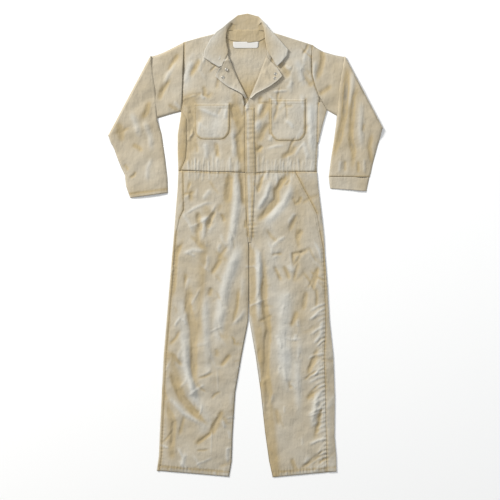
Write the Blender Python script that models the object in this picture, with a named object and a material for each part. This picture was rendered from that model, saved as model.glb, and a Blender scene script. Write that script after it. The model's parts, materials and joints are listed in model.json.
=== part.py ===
"""A boiler suit laid out flat on its back: cut-and-sewn cloth pieces, each a closed wall.

Run with blender --background --python part.py. Sizes are in millimetres in the tables and become metres
in the meshes. The suit lies on z = 0 with the collar towards +Y, so the wearer's left is at +X.
"""

import math
from collections import namedtuple

import bmesh
import bpy
from mathutils import Vector

MM = 0.001
WALL = 1.2  # one ply of work twill, seam allowances included
DOUBLE = 1.5  # collar, lapels and cuff: two plies
GAP = 0.3  # between neighbours at a seam
LIFT = 0.9  # a piece that lies on another, clear of its facets
FRONT_FLOOR = WALL + GAP  # underside of the front layer
FRONT_TOP = FRONT_FLOOR + WALL
STEP = 40.0  # longest cell along a panel
SLEEVE_DEPTH = 2 * WALL + GAP  # a flat sleeve, both plies
SLEEVE_TURN = 1.5  # inner radius where a sleeve folds over itself
SLEEVE_COLUMNS = 5
SLEEVE_STEP = 42.0
COLLAR_LOW = 3.9  # middle of the collar's hidden ply, on the front bodice
COLLAR_HIGH = 6.9  # middle of the collar's turned-down leaf
SNAP_RADIUS = 5.5
SNAP_HEIGHT = 1.6

# A row across a panel, from its left end to its right end as seen from above.
Span = namedtuple("Span", "x0 y0 x1 y1")
# A soft ridge of the cloth: the line it follows, how far it reaches to each side, and how high it stands.
Ridge = namedtuple("Ridge", "x0 y0 x1 y1 reach height")
# A section across the collar: root at the stand, roll line, outer edge, and the heights of its two plies.
Leaf = namedtuple("Leaf", "root_x root_y roll_x roll_y edge_x edge_y low high")
Finish = namedtuple("Finish", "colour roughness metallic")

TWILL = Finish((0.50, 0.45, 0.35), 0.9, 0.0)
LABEL = Finish((0.66, 0.63, 0.60), 0.8, 0.0)
METAL = Finish((0.42, 0.40, 0.36), 0.4, 0.9)

RIDGES = (
    Ridge(-40, -20, -70, -126, 42, 5.5),
    Ridge(-70, -126, -89, -266, 42, 5.5),
    Ridge(-209, -283, -190, -410, 38, 4.8),
    Ridge(-190, -410, -159, -538, 38, 4.8),
    Ridge(-150, 150, -140, 20, 40, 4.0),
    Ridge(-120, -560, -110, -700, 40, 4.0),
    Ridge(70, 5, 62, -150, 36, 4.8),
    Ridge(150, 205, 80, 110, 38, 4.8),
    Ridge(210, -60, 190, -220, 40, 4.8),
    Ridge(200, -380, 180, -520, 42, 4.8),
    Ridge(130, -560, 150, -700, 40, 4.0),
    Ridge(216, 440, 212, 330, 30, 4.8),
    Ridge(74, 420, 70, 330, 30, 4.0),
    Ridge(-168, 560, -140, 500, 32, 4.0),
    Ridge(-60, 420, -45, 330, 32, 4.0),
    Ridge(-160, 330, -150, 275, 26, 3.2),
)

# From the hem to the waist: the inside leg, then the centre front; the side seam, then the pocket mouth.
TROUSER_FRONT_RIGHT = (
    Span(-289, -753, -57, -773), Span(-282, -704, -47, -712), Span(-279, -632, -45, -632),
    Span(-273, -511, -36, -491), Span(-266, -370, -15, -370), Span(-256, -250, 9, -250),
    Span(-246, -129, 11, -129), Span(-238, -20, 11, -5), Span(-232, 48, 8, 32),
    Span(-222, 92, 3.5, 92), Span(-208, 119, 2.5, 125), Span(-209, 193, 1, 193), Span(-210, 249, -0.4, 243),
)
TROUSER_FRONT_LEFT = (
    Span(93, -775, 274, -757), Span(80, -712, 272, -700), Span(67, -622, 271, -635),
    Span(53, -491, 268, -475), Span(36, -370, 264, -370), Span(14, -250, 269, -270),
    Span(12.6, -129, 266, -126), Span(12.6, -5, 261, -8), Span(9, 32, 250, 48),
    Span(4.5, 92, 239, 109), Span(3.5, 125, 222, 143), Span(1.6, 193, 195, 193), Span(0.2, 243, 168, 246),
)
TROUSER_BACK_RIGHT = (
    Span(-296, -754, -56, -774), Span(-289, -704, -46, -712), Span(-286, -632, -44, -632),
    Span(-280, -511, -35, -491), Span(-273, -370, -14, -370), Span(-263, -250, 10, -250),
    Span(-253, -129, 11.4, -129), Span(-246, -49, 11.4, -20), Span(-239, 32, 8.4, 32),
    Span(-233, 112, 3.4, 112), Span(-226, 193, 1.4, 193), Span(-224, 249, -0.2, 243),
)
TROUSER_BACK_LEFT = (
    Span(92, -777, 304, -757), Span(79, -712, 303, -710), Span(66, -622, 297, -640),
    Span(52, -491, 298, -511), Span(35, -370, 293, -370), Span(13.6, -250, 280, -250),
    Span(12.4, -129, 273, -129), Span(12.4, -20, 265, -30), Span(9, 32, 262, 32),
    Span(4.2, 112, 253, 112), Span(2.2, 193, 243, 193), Span(0.4, 243, 238, 246),
)
# From the waist to the shoulder: the side seam and armhole; the centre front, then the V.
BODICE_FRONT_RIGHT = (
    Span(-222, 251, -0.4, 243.6), Span(-201, 290, -1.4, 290), Span(-197, 340, -2.4, 340),
    Span(-199, 424, -3.4, 430), Span(-214, 449, -3.4, 464), Span(-212.4, 497, -8, 494),
    Span(-210.8, 541, -16, 528), Span(-209.5, 581, -30, 568), Span(-208.1, 621, -46, 605),
    Span(-206.9, 655, -60, 640), Span(-206.4, 670, -66, 684), Span(-206, 680, -75, 716),
)
BODICE_FRONT_LEFT = (
    Span(0.2, 243.6, 236, 247), Span(-0.8, 290, 238, 290), Span(-1.8, 340, 240, 340),
    Span(-2.8, 430, 242, 424), Span(-2.8, 464, 244, 474), Span(12, 491, 246.5, 499),
    Span(28, 528, 233.5, 534), Span(45, 568, 223.5, 571), Span(57, 601, 222.5, 608),
    Span(71, 638, 222.5, 642), Span(72, 684, 224, 660), Span(78, 716, 225, 670),
)
BODICE_BACK = (
    Span(-224, 249.6, 238, 246.6), Span(-226, 313, 236, 313), Span(-226, 374, 250, 374),
    Span(-219, 414, 260, 414), Span(-214, 449, 272, 454), Span(-212.4, 497, 246.5, 499),
    Span(-210.8, 541, 233.5, 534), Span(-209.8, 571, 223.5, 571), Span(-208.8, 600, 222.5, 600),
    Span(-206.9, 655, 222.5, 645), Span(-206, 680, 225, 670),
)
SHOULDER_AND_NECK = (
    (-206, 680), (-152, 697), (-75, 716), (-62, 698), (-45, 689.6), (12, 683.6), (42, 686.6), (64, 697),
    (78, 716), (142, 695.5), (225, 670),
)
# From the armhole to the fold at the elbow, then on to the hem: the underarm edge, then the overarm edge.
SLEEVE_RIGHT_UPPER = (
    Span(-214.9, 449, -206.9, 680), Span(-250, 440, -240, 663), Span(-296, 426, -275, 646),
    Span(-370, 400, -298, 637), Span(-457, 365, -315, 633),
)
SLEEVE_RIGHT_LOWER = (
    Span(-451, 345, -312, 608), Span(-440, 324, -307, 569), Span(-428, 290, -301, 520),
    Span(-415, 258, -297, 460), Span(-404, 236, -295, 418), Span(-402, 218, -281, 374),
    Span(-400, 199, -269, 290), Span(-393, 178, -261, 222), Span(-386, 160, -260, 176),
)
SLEEVE_LEFT_UPPER = (
    Span(272.7, 454, 225.9, 670), Span(308, 434, 262, 648), Span(370, 415, 300, 637), Span(440, 397, 322, 633),
    Span(457, 390, 330, 631),
)
SLEEVE_LEFT_LOWER = (
    Span(452, 366, 327, 612), Span(440, 325, 320, 580), Span(434, 302, 311, 520), Span(429, 283, 310, 476),
    Span(425, 268, 306, 425), Span(422, 254, 297, 355), Span(419, 241, 287, 292), Span(415.5, 229, 279, 230),
)
# The armhole seams on the sleeves' side, as (y, x) from the armpit to the shoulder.
ARMHOLE_RIGHT = ((449, -214.9), (680, -206.9))
ARMHOLE_LEFT = (
    (454, 272.7), (499, 247.3), (534, 234.4), (571, 224.6), (608, 223.4), (645, 223.4), (670, 225.9),
)
CUFF_LEFT = (Span(415, 228.5, 279, 229.5), Span(410, 205, 281, 211), Span(405, 182, 284, 191))

FLY_PLACKET = (
    Span(10.5, 10, 17, 10), Span(7, 60, 23, 60), Span(4.5, 110, 27, 110), Span(2.5, 180, 31, 180),
    Span(0.8, 246, 34, 246), Span(-0.2, 300, 33, 300), Span(-1.8, 380, 30, 380), Span(-2.2, 461, 30, 461),
)
LAPEL_RIGHT = (
    Span(0, 492, 3, 494), Span(-10, 506, -3, 510), Span(-28, 516, -14, 531), Span(-59, 531, -24, 551),
    Span(-82, 548, -32, 568), Span(-101, 566, -41, 586), Span(-93, 582, -48, 605), Span(-83, 592, -57, 626),
)
LAPEL_LEFT = (
    Span(10, 494, 18, 492), Span(21, 509, 35, 508), Span(29, 528, 55, 518), Span(38, 548, 84, 533),
    Span(46, 568, 108, 551), Span(52, 585, 123, 566), Span(58, 601, 112, 584), Span(72, 630, 106, 592),
)
POCKET_RIGHT = (
    Span(-140, 355, -85, 355), Span(-159, 362, -67, 362), Span(-169, 374, -57, 374), Span(-173, 392, -53, 392),
    Span(-173, 430, -53, 430), Span(-173, 474, -53, 474),
)
POCKET_LEFT = (
    Span(111, 351, 172, 351), Span(93, 358, 190, 358), Span(84, 370, 199, 370), Span(82, 390, 201, 390),
    Span(82, 430, 201, 430), Span(82, 489, 201, 489),
)
HIP_FACING_RIGHT = (
    Span(-232, 96, -223, 93), Span(-230, 120, -208.6, 119.5), Span(-226, 193, -209.6, 193),
    Span(-224, 248.6, -210.6, 248.6),
)
HIP_FACING_LEFT = (
    Span(225, 141, 236, 116), Span(222.4, 143.6, 234, 130), Span(195.4, 193.4, 229, 193), Span(168.6, 246, 225, 246),
)
# From right to left, each row from the neck seam up to the fall.
COLLAR_STAND = (
    Span(60, 701, 60, 718), Span(42, 690.2, 42, 718.4), Span(12, 686, 12, 718.6), Span(-22, 689.4, -22, 718.6),
    Span(-45, 693.6, -45, 718.4), Span(-58, 701, -58, 718),
)
COLLAR_FALL = (
    Leaf(-72, 632, -63, 636, -77, 602, COLLAR_LOW, COLLAR_HIGH),
    Leaf(-74, 643, -61, 645, -92, 597, COLLAR_LOW, COLLAR_HIGH),
    Leaf(-76, 652, -60, 655, -115, 611, COLLAR_LOW, COLLAR_HIGH),
    Leaf(-78, 664, -63, 665, -139, 628, COLLAR_LOW, COLLAR_HIGH),
    Leaf(-79, 677, -66, 678, -139, 649, COLLAR_LOW, COLLAR_HIGH),
    Leaf(-78, 692, -67, 693, -121, 684, COLLAR_LOW, COLLAR_HIGH),
    Leaf(-73, 709, -66, 707, -97, 714, COLLAR_LOW, COLLAR_HIGH),
    Leaf(-60, 719, -62, 725, -76, 728, 3.0, 6.0),
    Leaf(-50, 719, -48, 744, -56, 746, 1.6, 4.6),
    Leaf(-28, 719.2, -27, 745, -26, 771, DOUBLE / 2, DOUBLE / 2),
    Leaf(8, 719.2, 8, 748, 7, 777, DOUBLE / 2, DOUBLE / 2),
    Leaf(36, 719.2, 40, 745, 44, 767, DOUBLE / 2, DOUBLE / 2),
    Leaf(50, 719, 54, 746, 63, 746, 1.6, 4.6),
    Leaf(61, 719, 62, 726, 78, 727, 3.0, 6.0),
    Leaf(74, 709, 66, 707, 95, 709, COLLAR_LOW, COLLAR_HIGH),
    Leaf(80, 692, 67, 688, 114, 687, COLLAR_LOW, COLLAR_HIGH),
    Leaf(83, 677, 70, 673, 144, 653, COLLAR_LOW, COLLAR_HIGH),
    Leaf(85, 665, 72, 661, 139, 634, COLLAR_LOW, COLLAR_HIGH),
    Leaf(87, 655, 75, 652, 122, 614, COLLAR_LOW, COLLAR_HIGH),
    Leaf(89, 646, 79, 645, 107, 600, COLLAR_LOW, COLLAR_HIGH),
    Leaf(91, 640, 83, 639, 101, 607, COLLAR_LOW, COLLAR_HIGH),
)
NECK_LABEL = (Span(-36, 661, 38, 661), Span(-40, 664, 42, 664), Span(-42, 681, 44, 681))
SNAPS = {
    "snap_right_upper": (-64, 588), "snap_right_lower": (-76, 562),
    "snap_left_upper": (100, 573), "snap_left_lower": (98, 558),
}


def clear_scene():
    for obj in list(bpy.data.objects):
        bpy.data.objects.remove(obj)


def material(name, finish):
    made = bpy.data.materials.new(name)
    made.use_nodes = True
    shader = made.node_tree.nodes["Principled BSDF"]
    shader.inputs["Base Color"].default_value = (*finish.colour, 1.0)
    shader.inputs["Roughness"].default_value = finish.roughness
    shader.inputs["Metallic"].default_value = finish.metallic
    return made


def smooth(t):
    t = min(max(t, 0.0), 1.0)
    return t * t * (3 - 2 * t)


def mix(a, b, t):
    return a + (b - a) * t


def polyline(points, x):
    """The y of an edge given from left to right, at x."""
    for (x0, y0), (x1, y1) in zip(points, points[1:]):
        if x <= x1:
            return mix(y0, y1, min(max((x - x0) / (x1 - x0), 0.0), 1.0))
    return points[-1][1]


def fold_height(x, y):
    """How far the front layer stands off the layer under it."""
    total = 0.0
    for ridge in RIDGES:
        along = Vector((ridge.x1 - ridge.x0, ridge.y1 - ridge.y0))
        start = Vector((x - ridge.x0, y - ridge.y0))
        t = min(max(start.dot(along) / along.length_squared, 0.0), 1.0)
        away = (start - along * t).length / ridge.reach
        total = max(total, ridge.height * smooth(1 - away / 2))
    return total


def refined(rows, step=STEP):
    """The rows with more set between them, so that no cell is longer than the step."""
    out = [rows[0]]
    for low, high in zip(rows, rows[1:]):
        reach = max(math.hypot(high.x0 - low.x0, high.y0 - low.y0), math.hypot(high.x1 - low.x1, high.y1 - low.y1))
        count = max(1, math.ceil(reach / step))
        for i in range(1, count + 1):
            out.append(Span(*(mix(a, b, i / count) for a, b in zip(low, high))))
    return out


def sheet(name, rows, columns, place, wall, finish, offset=1.0, closed=False):
    """One wall of cloth: a grid laid over the rows by place(row, u), thickened to one closed body."""
    mesh = bpy.data.meshes.new(name)
    bm = bmesh.new()
    bmesh.ops.create_grid(bm, x_segments=columns, y_segments=len(rows) - 1, size=0.5)
    for vert in bm.verts:
        u = vert.co.x + 0.5
        row = rows[round((vert.co.y + 0.5) * (len(rows) - 1))]
        vert.co = Vector(place(row, u)) * MM
    if closed:
        bmesh.ops.remove_doubles(bm, verts=bm.verts, dist=1e-6)
        bmesh.ops.recalc_face_normals(bm, faces=bm.faces)
    bm.to_mesh(mesh)
    bm.free()
    mesh.shade_smooth()
    mesh.materials.append(finish)
    obj = bpy.data.objects.new(name, mesh)
    bpy.context.scene.collection.objects.link(obj)
    solidify = obj.modifiers.new("wall", "SOLIDIFY")
    solidify.thickness = wall * MM
    solidify.offset = offset
    return obj


def flat_panel(name, rows, columns, finish, floor=0.0, wall=WALL):
    """A panel whose underside is flat."""
    return sheet(
        name, refined(rows, 2 * STEP), columns,
        lambda row, u: (mix(row.x0, row.x1, u), mix(row.y0, row.y1, u), floor), wall, finish,
    )


def laid_panel(name, rows, columns, finish, lift=FRONT_FLOOR, wall=WALL, step=STEP):
    """A panel that follows the front layer's folds, its underside at this height where the cloth lies flat."""

    def place(row, u):
        x, y = mix(row.x0, row.x1, u), mix(row.y0, row.y1, u)
        return x, y, lift + fold_height(x, y)

    return sheet(name, refined(rows, step), columns, place, wall, finish)


def back_bodice(finish):
    """The back, with its shoulders and neckline shaped out of the last rows."""
    rows = refined(BODICE_BACK)
    top, bend_from = BODICE_BACK[-1], 560.0

    def place(row, u):
        x, y = mix(row.x0, row.x1, u), mix(row.y0, row.y1, u)
        across = (x - top.x0) / (top.x1 - top.x0)
        rise = polyline(SHOULDER_AND_NECK, x) - mix(top.y0, top.y1, across)
        return x, y + rise * smooth((y - bend_from) / (mix(top.y0, top.y1, across) - bend_from)), 0.0

    return sheet("back_bodice", rows, 18, place, WALL, finish)


def ring_point(under, over, u):
    """Where a flat tube's middle line is at u: plan fraction from under to over edge, and depth within it."""
    ply = WALL / 2
    far = SLEEVE_DEPTH - ply
    side = SLEEVE_COLUMNS / (SLEEVE_COLUMNS + 1) / 2
    if u <= side:
        return u / side, ply
    if u < 0.5 + 1e-6:
        return 1.0, mix(ply, far, 0.5)
    if u <= 0.5 + side:
        return 1 - (u - 0.5) / side, far
    return 0.0, mix(ply, far, 0.5)


def ring_columns():
    return 2 * (SLEEVE_COLUMNS + 1)


def sleeve(name, upper, lower, armhole, finish):
    """A flat tube from the armhole to the elbow, turned over there, and laid back over itself."""
    fold = upper[-1]
    line = Vector((fold.x1 - fold.x0, fold.y1 - fold.y0)).normalized()
    away = Vector((line.y, -line.x))
    if away.x * fold.x0 < 0:
        away.negate()
    edge = Vector((upper[0].x0, upper[0].y0)), Vector((upper[-1].x0, upper[-1].y0))
    run = (edge[1] - edge[0]).normalized()
    out = Vector((run.y, -run.x))
    if out.y > 0:
        out.negate()
    turns = [("turn", math.pi * i / 4) for i in range(1, 5)]
    stations = [("up", row) for row in refined(upper, SLEEVE_STEP)]
    stations += turns + [("over", row) for row in refined((fold, *lower), SLEEVE_STEP)[1:]]
    top = upper[0]

    def resting(x, y):
        """The height of what the folded part lies on: the upper arm, then the floor beyond its lower edge."""
        past = (Vector((x, y)) - edge[0]).dot(out)
        return (SLEEVE_DEPTH + GAP) * (1 - smooth((past - 22) / 45))

    def place(station, u):
        kind, value = station
        row = fold if kind == "turn" else value
        across, depth = ring_point(None, None, u)
        edge_push = (WALL + GAP) / 2 if depth == SLEEVE_DEPTH / 2 else 0.0
        x, y = mix(row.x0, row.x1, across), mix(row.y0, row.y1, across)
        flow = Vector((row.x1 - row.x0, row.y1 - row.y0)).normalized() * (edge_push if across > 0.5 else -edge_push)
        x, y = x + flow.x, y + flow.y
        if kind == "up":
            chord = mix(top.x0, top.x1, (y - top.y0) / (top.y1 - top.y0))
            near = 1 - smooth(math.hypot(row.x0 - top.x0, row.y0 - top.y0) / 70)
            return x + (polyline(armhole, y) - chord) * near, y, depth
        if kind == "turn":
            radius = SLEEVE_TURN + SLEEVE_DEPTH - depth
            centre = SLEEVE_DEPTH + SLEEVE_TURN
            push = radius * math.sin(value)
            return x + away.x * push, y + away.y * push, centre - radius * math.cos(value)
        back = (Vector((fold.x0, fold.y0)) - Vector((x, y))).dot(away)
        extra = (2 * SLEEVE_TURN - GAP) * (1 - smooth(back / 60))
        return x, y, resting(x, y) + extra + SLEEVE_DEPTH - depth

    return sheet(name, stations, ring_columns(), place, WALL, finish, offset=0.0, closed=True)


def cuff(name, rows, finish):
    """A band round the sleeve's end, flat like the sleeve."""

    def place(row, u):
        across, depth = ring_point(None, None, u)
        push = (WALL + GAP) / 2 * (1 if across > 0.5 else -1) if depth == SLEEVE_DEPTH / 2 else 0.0
        return mix(row.x0, row.x1, across) - push, mix(row.y0, row.y1, across), SLEEVE_DEPTH - depth

    return sheet(name, rows, ring_columns(), place, WALL, finish, offset=0.0, closed=True)


def collar_fall(finish):
    """The fall: flat behind the neck, and at each side rolled over and laid down on the front."""
    columns = 7

    def place(leaf, u):
        root = Vector((leaf.root_x, leaf.root_y))
        roll = Vector((leaf.roll_x, leaf.roll_y))
        edge = Vector((leaf.edge_x, leaf.edge_y))
        flat = leaf.low == leaf.high
        out = (roll - root).normalized() if flat else (roll - edge).normalized()
        bend = (leaf.high - leaf.low) / 2
        along = 4.0 if flat else 0.0
        points = (
            (root, leaf.low), (root.lerp(roll, 0.55), leaf.low), (roll - out * along, leaf.low),
            (roll + out * bend * 0.7, mix(leaf.low, leaf.high, 0.15)),
            (roll + out * bend, mix(leaf.low, leaf.high, 0.5)) if not flat else (roll + out * 2, leaf.low),
            (roll + out * along + out * bend * 0.7, mix(leaf.low, leaf.high, 0.85)),
            (roll.lerp(edge, 0.45), leaf.high), (edge, leaf.high),
        )
        point, height = points[round(u * columns)]
        return point.x, point.y, height

    return sheet("collar_fall", COLLAR_FALL, columns, place, DOUBLE, finish, offset=0.0, closed=True)


def snap(name, centre, finish):
    """A pressed snap cap on a lapel."""
    floor = FRONT_TOP + fold_height(*centre) + LIFT + DOUBLE + GAP
    mesh = bpy.data.meshes.new(name)
    bm = bmesh.new()
    bmesh.ops.create_cone(
        bm, cap_ends=True, segments=20, radius1=SNAP_RADIUS * MM, radius2=SNAP_RADIUS * 0.8 * MM, depth=SNAP_HEIGHT * MM
    )
    bmesh.ops.translate(bm, verts=bm.verts, vec=Vector((*centre, floor + SNAP_HEIGHT / 2)) * MM)
    bm.to_mesh(mesh)
    bm.free()
    mesh.materials.append(finish)
    bpy.context.scene.collection.objects.link(bpy.data.objects.new(name, mesh))


def main():
    clear_scene()
    twill, label, metal = (
        material("khaki_twill", TWILL), material("label_cloth", LABEL), material("snap_metal", METAL)
    )
    back_bodice(twill)
    flat_panel("trouser_back_right", TROUSER_BACK_RIGHT, 3, twill)
    flat_panel("trouser_back_left", TROUSER_BACK_LEFT, 3, twill)
    laid_panel("trouser_front_right", TROUSER_FRONT_RIGHT, 8, twill)
    laid_panel("trouser_front_left", TROUSER_FRONT_LEFT, 8, twill)
    laid_panel("front_bodice_right", BODICE_FRONT_RIGHT, 8, twill)
    laid_panel("front_bodice_left", BODICE_FRONT_LEFT, 8, twill)
    on_front = FRONT_TOP + LIFT
    laid_panel("fly_placket", FLY_PLACKET, 2, twill, lift=on_front)
    laid_panel("lapel_right", LAPEL_RIGHT, 4, twill, lift=on_front, wall=DOUBLE)
    laid_panel("lapel_left", LAPEL_LEFT, 4, twill, lift=on_front, wall=DOUBLE)
    laid_panel("chest_pocket_right", POCKET_RIGHT, 5, twill, lift=on_front, step=24)
    laid_panel("chest_pocket_left", POCKET_LEFT, 5, twill, lift=on_front, step=24)
    laid_panel("hip_facing_right", HIP_FACING_RIGHT, 1, twill)
    laid_panel("hip_facing_left", HIP_FACING_LEFT, 2, twill)
    flat_panel("collar_stand", COLLAR_STAND, 2, twill)
    collar_fall(twill)
    flat_panel("neck_label", NECK_LABEL, 2, label, floor=WALL + GAP, wall=1.0)
    sleeve("sleeve_right", SLEEVE_RIGHT_UPPER, SLEEVE_RIGHT_LOWER, ARMHOLE_RIGHT, twill)
    sleeve("sleeve_left", SLEEVE_LEFT_UPPER, SLEEVE_LEFT_LOWER, ARMHOLE_LEFT, twill)
    cuff("cuff_left", CUFF_LEFT, twill)
    for name, centre in SNAPS.items():
        snap(name, centre, metal)


main()
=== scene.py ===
"""Looks of the boiler suit laid out flat: twill panels with their folds, seams, gathers, snaps and label.

Tables are in millimetres, in the frame's own axes: +X to the wearer's left, +Y to the collar, +Z up.
"""

import json
import logging
import math
from dataclasses import dataclass, field
from enum import Enum
from typing import Callable, NamedTuple

import bmesh
import bpy
import numpy as np
from mathutils import Matrix, Vector
from mathutils.bvhtree import BVHTree

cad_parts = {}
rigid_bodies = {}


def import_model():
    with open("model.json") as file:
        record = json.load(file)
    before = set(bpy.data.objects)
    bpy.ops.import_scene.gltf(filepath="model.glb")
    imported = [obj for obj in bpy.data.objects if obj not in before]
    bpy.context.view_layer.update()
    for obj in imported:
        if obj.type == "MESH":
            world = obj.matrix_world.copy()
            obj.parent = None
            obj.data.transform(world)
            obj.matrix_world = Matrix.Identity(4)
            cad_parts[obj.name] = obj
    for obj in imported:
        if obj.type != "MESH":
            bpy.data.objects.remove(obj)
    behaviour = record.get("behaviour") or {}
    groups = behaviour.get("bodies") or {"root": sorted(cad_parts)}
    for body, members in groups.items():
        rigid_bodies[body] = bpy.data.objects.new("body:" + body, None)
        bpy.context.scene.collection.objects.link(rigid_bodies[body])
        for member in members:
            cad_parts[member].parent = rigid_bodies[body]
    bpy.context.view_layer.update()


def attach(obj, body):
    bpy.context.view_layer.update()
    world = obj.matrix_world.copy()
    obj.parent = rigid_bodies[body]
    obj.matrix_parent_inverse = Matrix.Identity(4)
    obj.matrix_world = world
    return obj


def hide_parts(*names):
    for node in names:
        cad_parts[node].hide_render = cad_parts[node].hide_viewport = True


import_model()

LOG = logging.getLogger("boiler_suit")
MM = 0.001
PLY = 0.8  # what one ply of the cloth shows at an edge
FRONT_REST = 2.6  # the front's face where it is pressed flat
PUFF = 3.6  # how far the air between the plies lifts the front
PUFF_REACH = 16.0
FOLD_GAIN = 1.75  # how much higher folds stand than their tables say
WAVE_STEEPNESS = 0.0034  # of the slow waves in the cloth, as height over length
PRESSED = 0.9  # the most that a seam or hollow can sink below the pressed height
SEAM_SHADE, SEAM_SHADE_REACH = 0.34, 4.5
LEAST_TONE = 0.2  # outside the neck no cloth is darker than this
BEND_SHARE = 0.35  # of a turned-over edge, what goes into its bend
Array = np.ndarray


class Span(NamedTuple):
    """A row across a panel, from its left end to its right end as seen from above."""

    x0: float
    y0: float
    x1: float
    y1: float


class Crease(NamedTuple):
    """A soft fold: its line, how far it reaches to the left and right of that line, and its rise."""

    path: tuple
    left: float
    right: float
    rise: float
    open_start: bool = False


class Seam(NamedTuple):
    """A stitched line: how deep it pulls the cloth, how far, and the puckers along it."""

    path: tuple
    dip: float
    reach: float
    ripple: float = 0.0
    period: float = 11.0
    ripple_reach: float = 9.0


class Leaf(NamedTuple):
    """A section across the collar: root, roll line, outer edge, and the heights of its two plies."""

    root_x: float
    root_y: float
    roll_x: float
    roll_y: float
    edge_x: float
    edge_y: float
    low: float
    high: float


class Side(Enum):
    """The wearer's side that a piece belongs to."""

    LEFT = "left"
    RIGHT = "right"


TROUSER_FRONT_RIGHT = (
    Span(-289, -753, -57, -773), Span(-282, -704, -48, -722), Span(-279, -632, -45, -632),
    Span(-273, -511, -36, -491), Span(-266, -370, -15, -370), Span(-256, -250, 8.4, -250),
    Span(-246, -129, 10.6, -129), Span(-238, -20, 10.8, -5), Span(-232, 48, 8, 32),
    Span(-222, 92, 3.5, 92), Span(-208, 119, 2.5, 125), Span(-209, 193, 1, 193), Span(-210, 250.4, -0.4,
        243),
)
TROUSER_FRONT_LEFT = (
    Span(93, -775, 274, -757), Span(81, -722, 272, -700), Span(67, -622, 271, -635),
    Span(53, -491, 268, -475), Span(36, -370, 264, -370), Span(14.4, -250, 269, -270),
    Span(12.8, -129, 266, -126), Span(12.6, -5, 261, -8), Span(9, 32, 250, 48),
    Span(4.5, 92, 239, 109), Span(3.5, 125, 222, 143), Span(1.6, 193, 195, 193), Span(0.2, 241, 168, 246),
)
TROUSER_BACK_RIGHT = (
    Span(-296, -754, -56, -774), Span(-289, -704, -47, -722), Span(-286, -632, -44, -632),
    Span(-280, -511, -35, -491), Span(-273, -370, -14, -370), Span(-263, -250, 9, -250),
    Span(-253, -129, 11, -129), Span(-246, -49, 11, -20), Span(-239, 32, 8.4, 32),
    Span(-233, 112, 3.4, 112), Span(-226, 193, 1.4, 193), Span(-224, 249, -0.2, 243),
)
TROUSER_BACK_LEFT = (
    Span(92, -776, 304, -757), Span(80, -722, 303, -710), Span(66, -622, 297, -640),
    Span(52, -491, 298, -511), Span(35, -370, 293, -370), Span(14, -250, 280, -250),
    Span(12.4, -129, 273, -129), Span(12.4, -20, 265, -30), Span(9, 32, 262, 32),
    Span(4.2, 112, 253, 112), Span(2.2, 193, 243, 193), Span(0.4, 241, 238, 246),
)
BODICE_FRONT_RIGHT = (
    Span(-219, 252, -0.4, 243.8), Span(-201, 290, -1.4, 290), Span(-197, 340, -2.4, 340),
    Span(-198, 424, -3.4, 430), Span(-214, 449, -3.4, 464), Span(-212.4, 497, -8, 494),
    Span(-210.8, 541, -16, 528), Span(-209.5, 581, -30, 568), Span(-208.1, 621, -46, 605),
    Span(-206.9, 655, -60, 640), Span(-206.4, 670, -66, 684), Span(-206, 680, -75, 716),
)
BODICE_FRONT_LEFT = (
    Span(0.2, 242, 235, 247), Span(-0.8, 290, 237, 290), Span(-1.8, 340, 240, 340),
    Span(-2.8, 430, 242, 424), Span(-2.8, 464, 244, 474), Span(12, 491, 246.5, 499),
    Span(28, 528, 233.5, 534), Span(45, 568, 223.5, 571), Span(57, 601, 222.5, 608),
    Span(71, 638, 222.5, 642), Span(72, 684, 224, 660), Span(78, 716, 225, 670),
)
BODICE_BACK = (
    Span(-224, 249.6, 238, 246.6), Span(-226, 313, 236, 313), Span(-226, 374, 250, 374),
    Span(-219, 414, 260, 414), Span(-214, 449, 272, 454), Span(-212.4, 497, 246.5, 499),
    Span(-210.8, 541, 233.5, 534), Span(-209.8, 571, 223.5, 571), Span(-208.8, 600, 222.5, 600),
    Span(-206.9, 655, 222.5, 645), Span(-206, 680, 225, 670),
)
SHOULDER_AND_NECK = (
    (-206, 680), (-152, 697), (-75, 716), (-62, 698), (-45, 689.6), (12, 683.6), (42, 686.6), (64, 697),
    (78, 716), (142, 695.5), (225, 670),
)
FLY_PLACKET = (
    Span(9.5, 10, 18, 10), Span(6, 60, 23, 60), Span(3.5, 110, 27, 110), Span(1.5, 180, 30, 180),
    Span(-0.4, 246, 34, 246), Span(-1, 300, 33, 300), Span(-2.4, 380, 30, 380), Span(-3, 462, 30, 461),
)
LAPEL_RIGHT = (
    Span(0, 491, 4, 493), Span(-10, 506, -3, 510), Span(-28, 516, -14, 531), Span(-59, 531, -25, 554),
    Span(-82, 548, -34, 574), Span(-101, 566, -43, 592), Span(-93, 582, -51, 611), Span(-84, 592, -58, 630),
)
LAPEL_LEFT = (
    Span(12, 494, 18, 492), Span(20, 508, 35, 508), Span(28, 527, 55, 518), Span(36, 546, 84, 533),
    Span(44, 566, 108, 551), Span(51, 584, 123, 566), Span(58, 602, 112, 584), Span(70, 634, 106, 592),
)
POCKET_RIGHT = (
    Span(-140, 355, -85, 355), Span(-152, 358, -73, 358), Span(-163, 365, -64, 365), Span(-170, 375, -57,
        375),
    Span(-173, 392, -53, 392), Span(-173, 430, -53, 430), Span(-173, 474, -53, 474),
)
POCKET_LEFT = (
    Span(111, 351, 172, 351), Span(99, 354, 184, 354), Span(89, 362, 194, 362), Span(84, 372, 199, 372),
    Span(82, 390, 201, 390), Span(82, 430, 201, 430), Span(82, 489, 201, 489),
)
HIP_FACING_RIGHT = (
    Span(-229, 96, -223, 93), Span(-226.5, 120, -208.6, 119.5), Span(-221, 193, -209.6, 193),
    Span(-219, 251, -210.6, 251),
)
HIP_FACING_LEFT = (
    Span(225, 141, 236, 116), Span(222.4, 143.6, 234, 130), Span(195.4, 193.4, 229, 193), Span(168.6, 246,
        225, 246),
)
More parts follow.
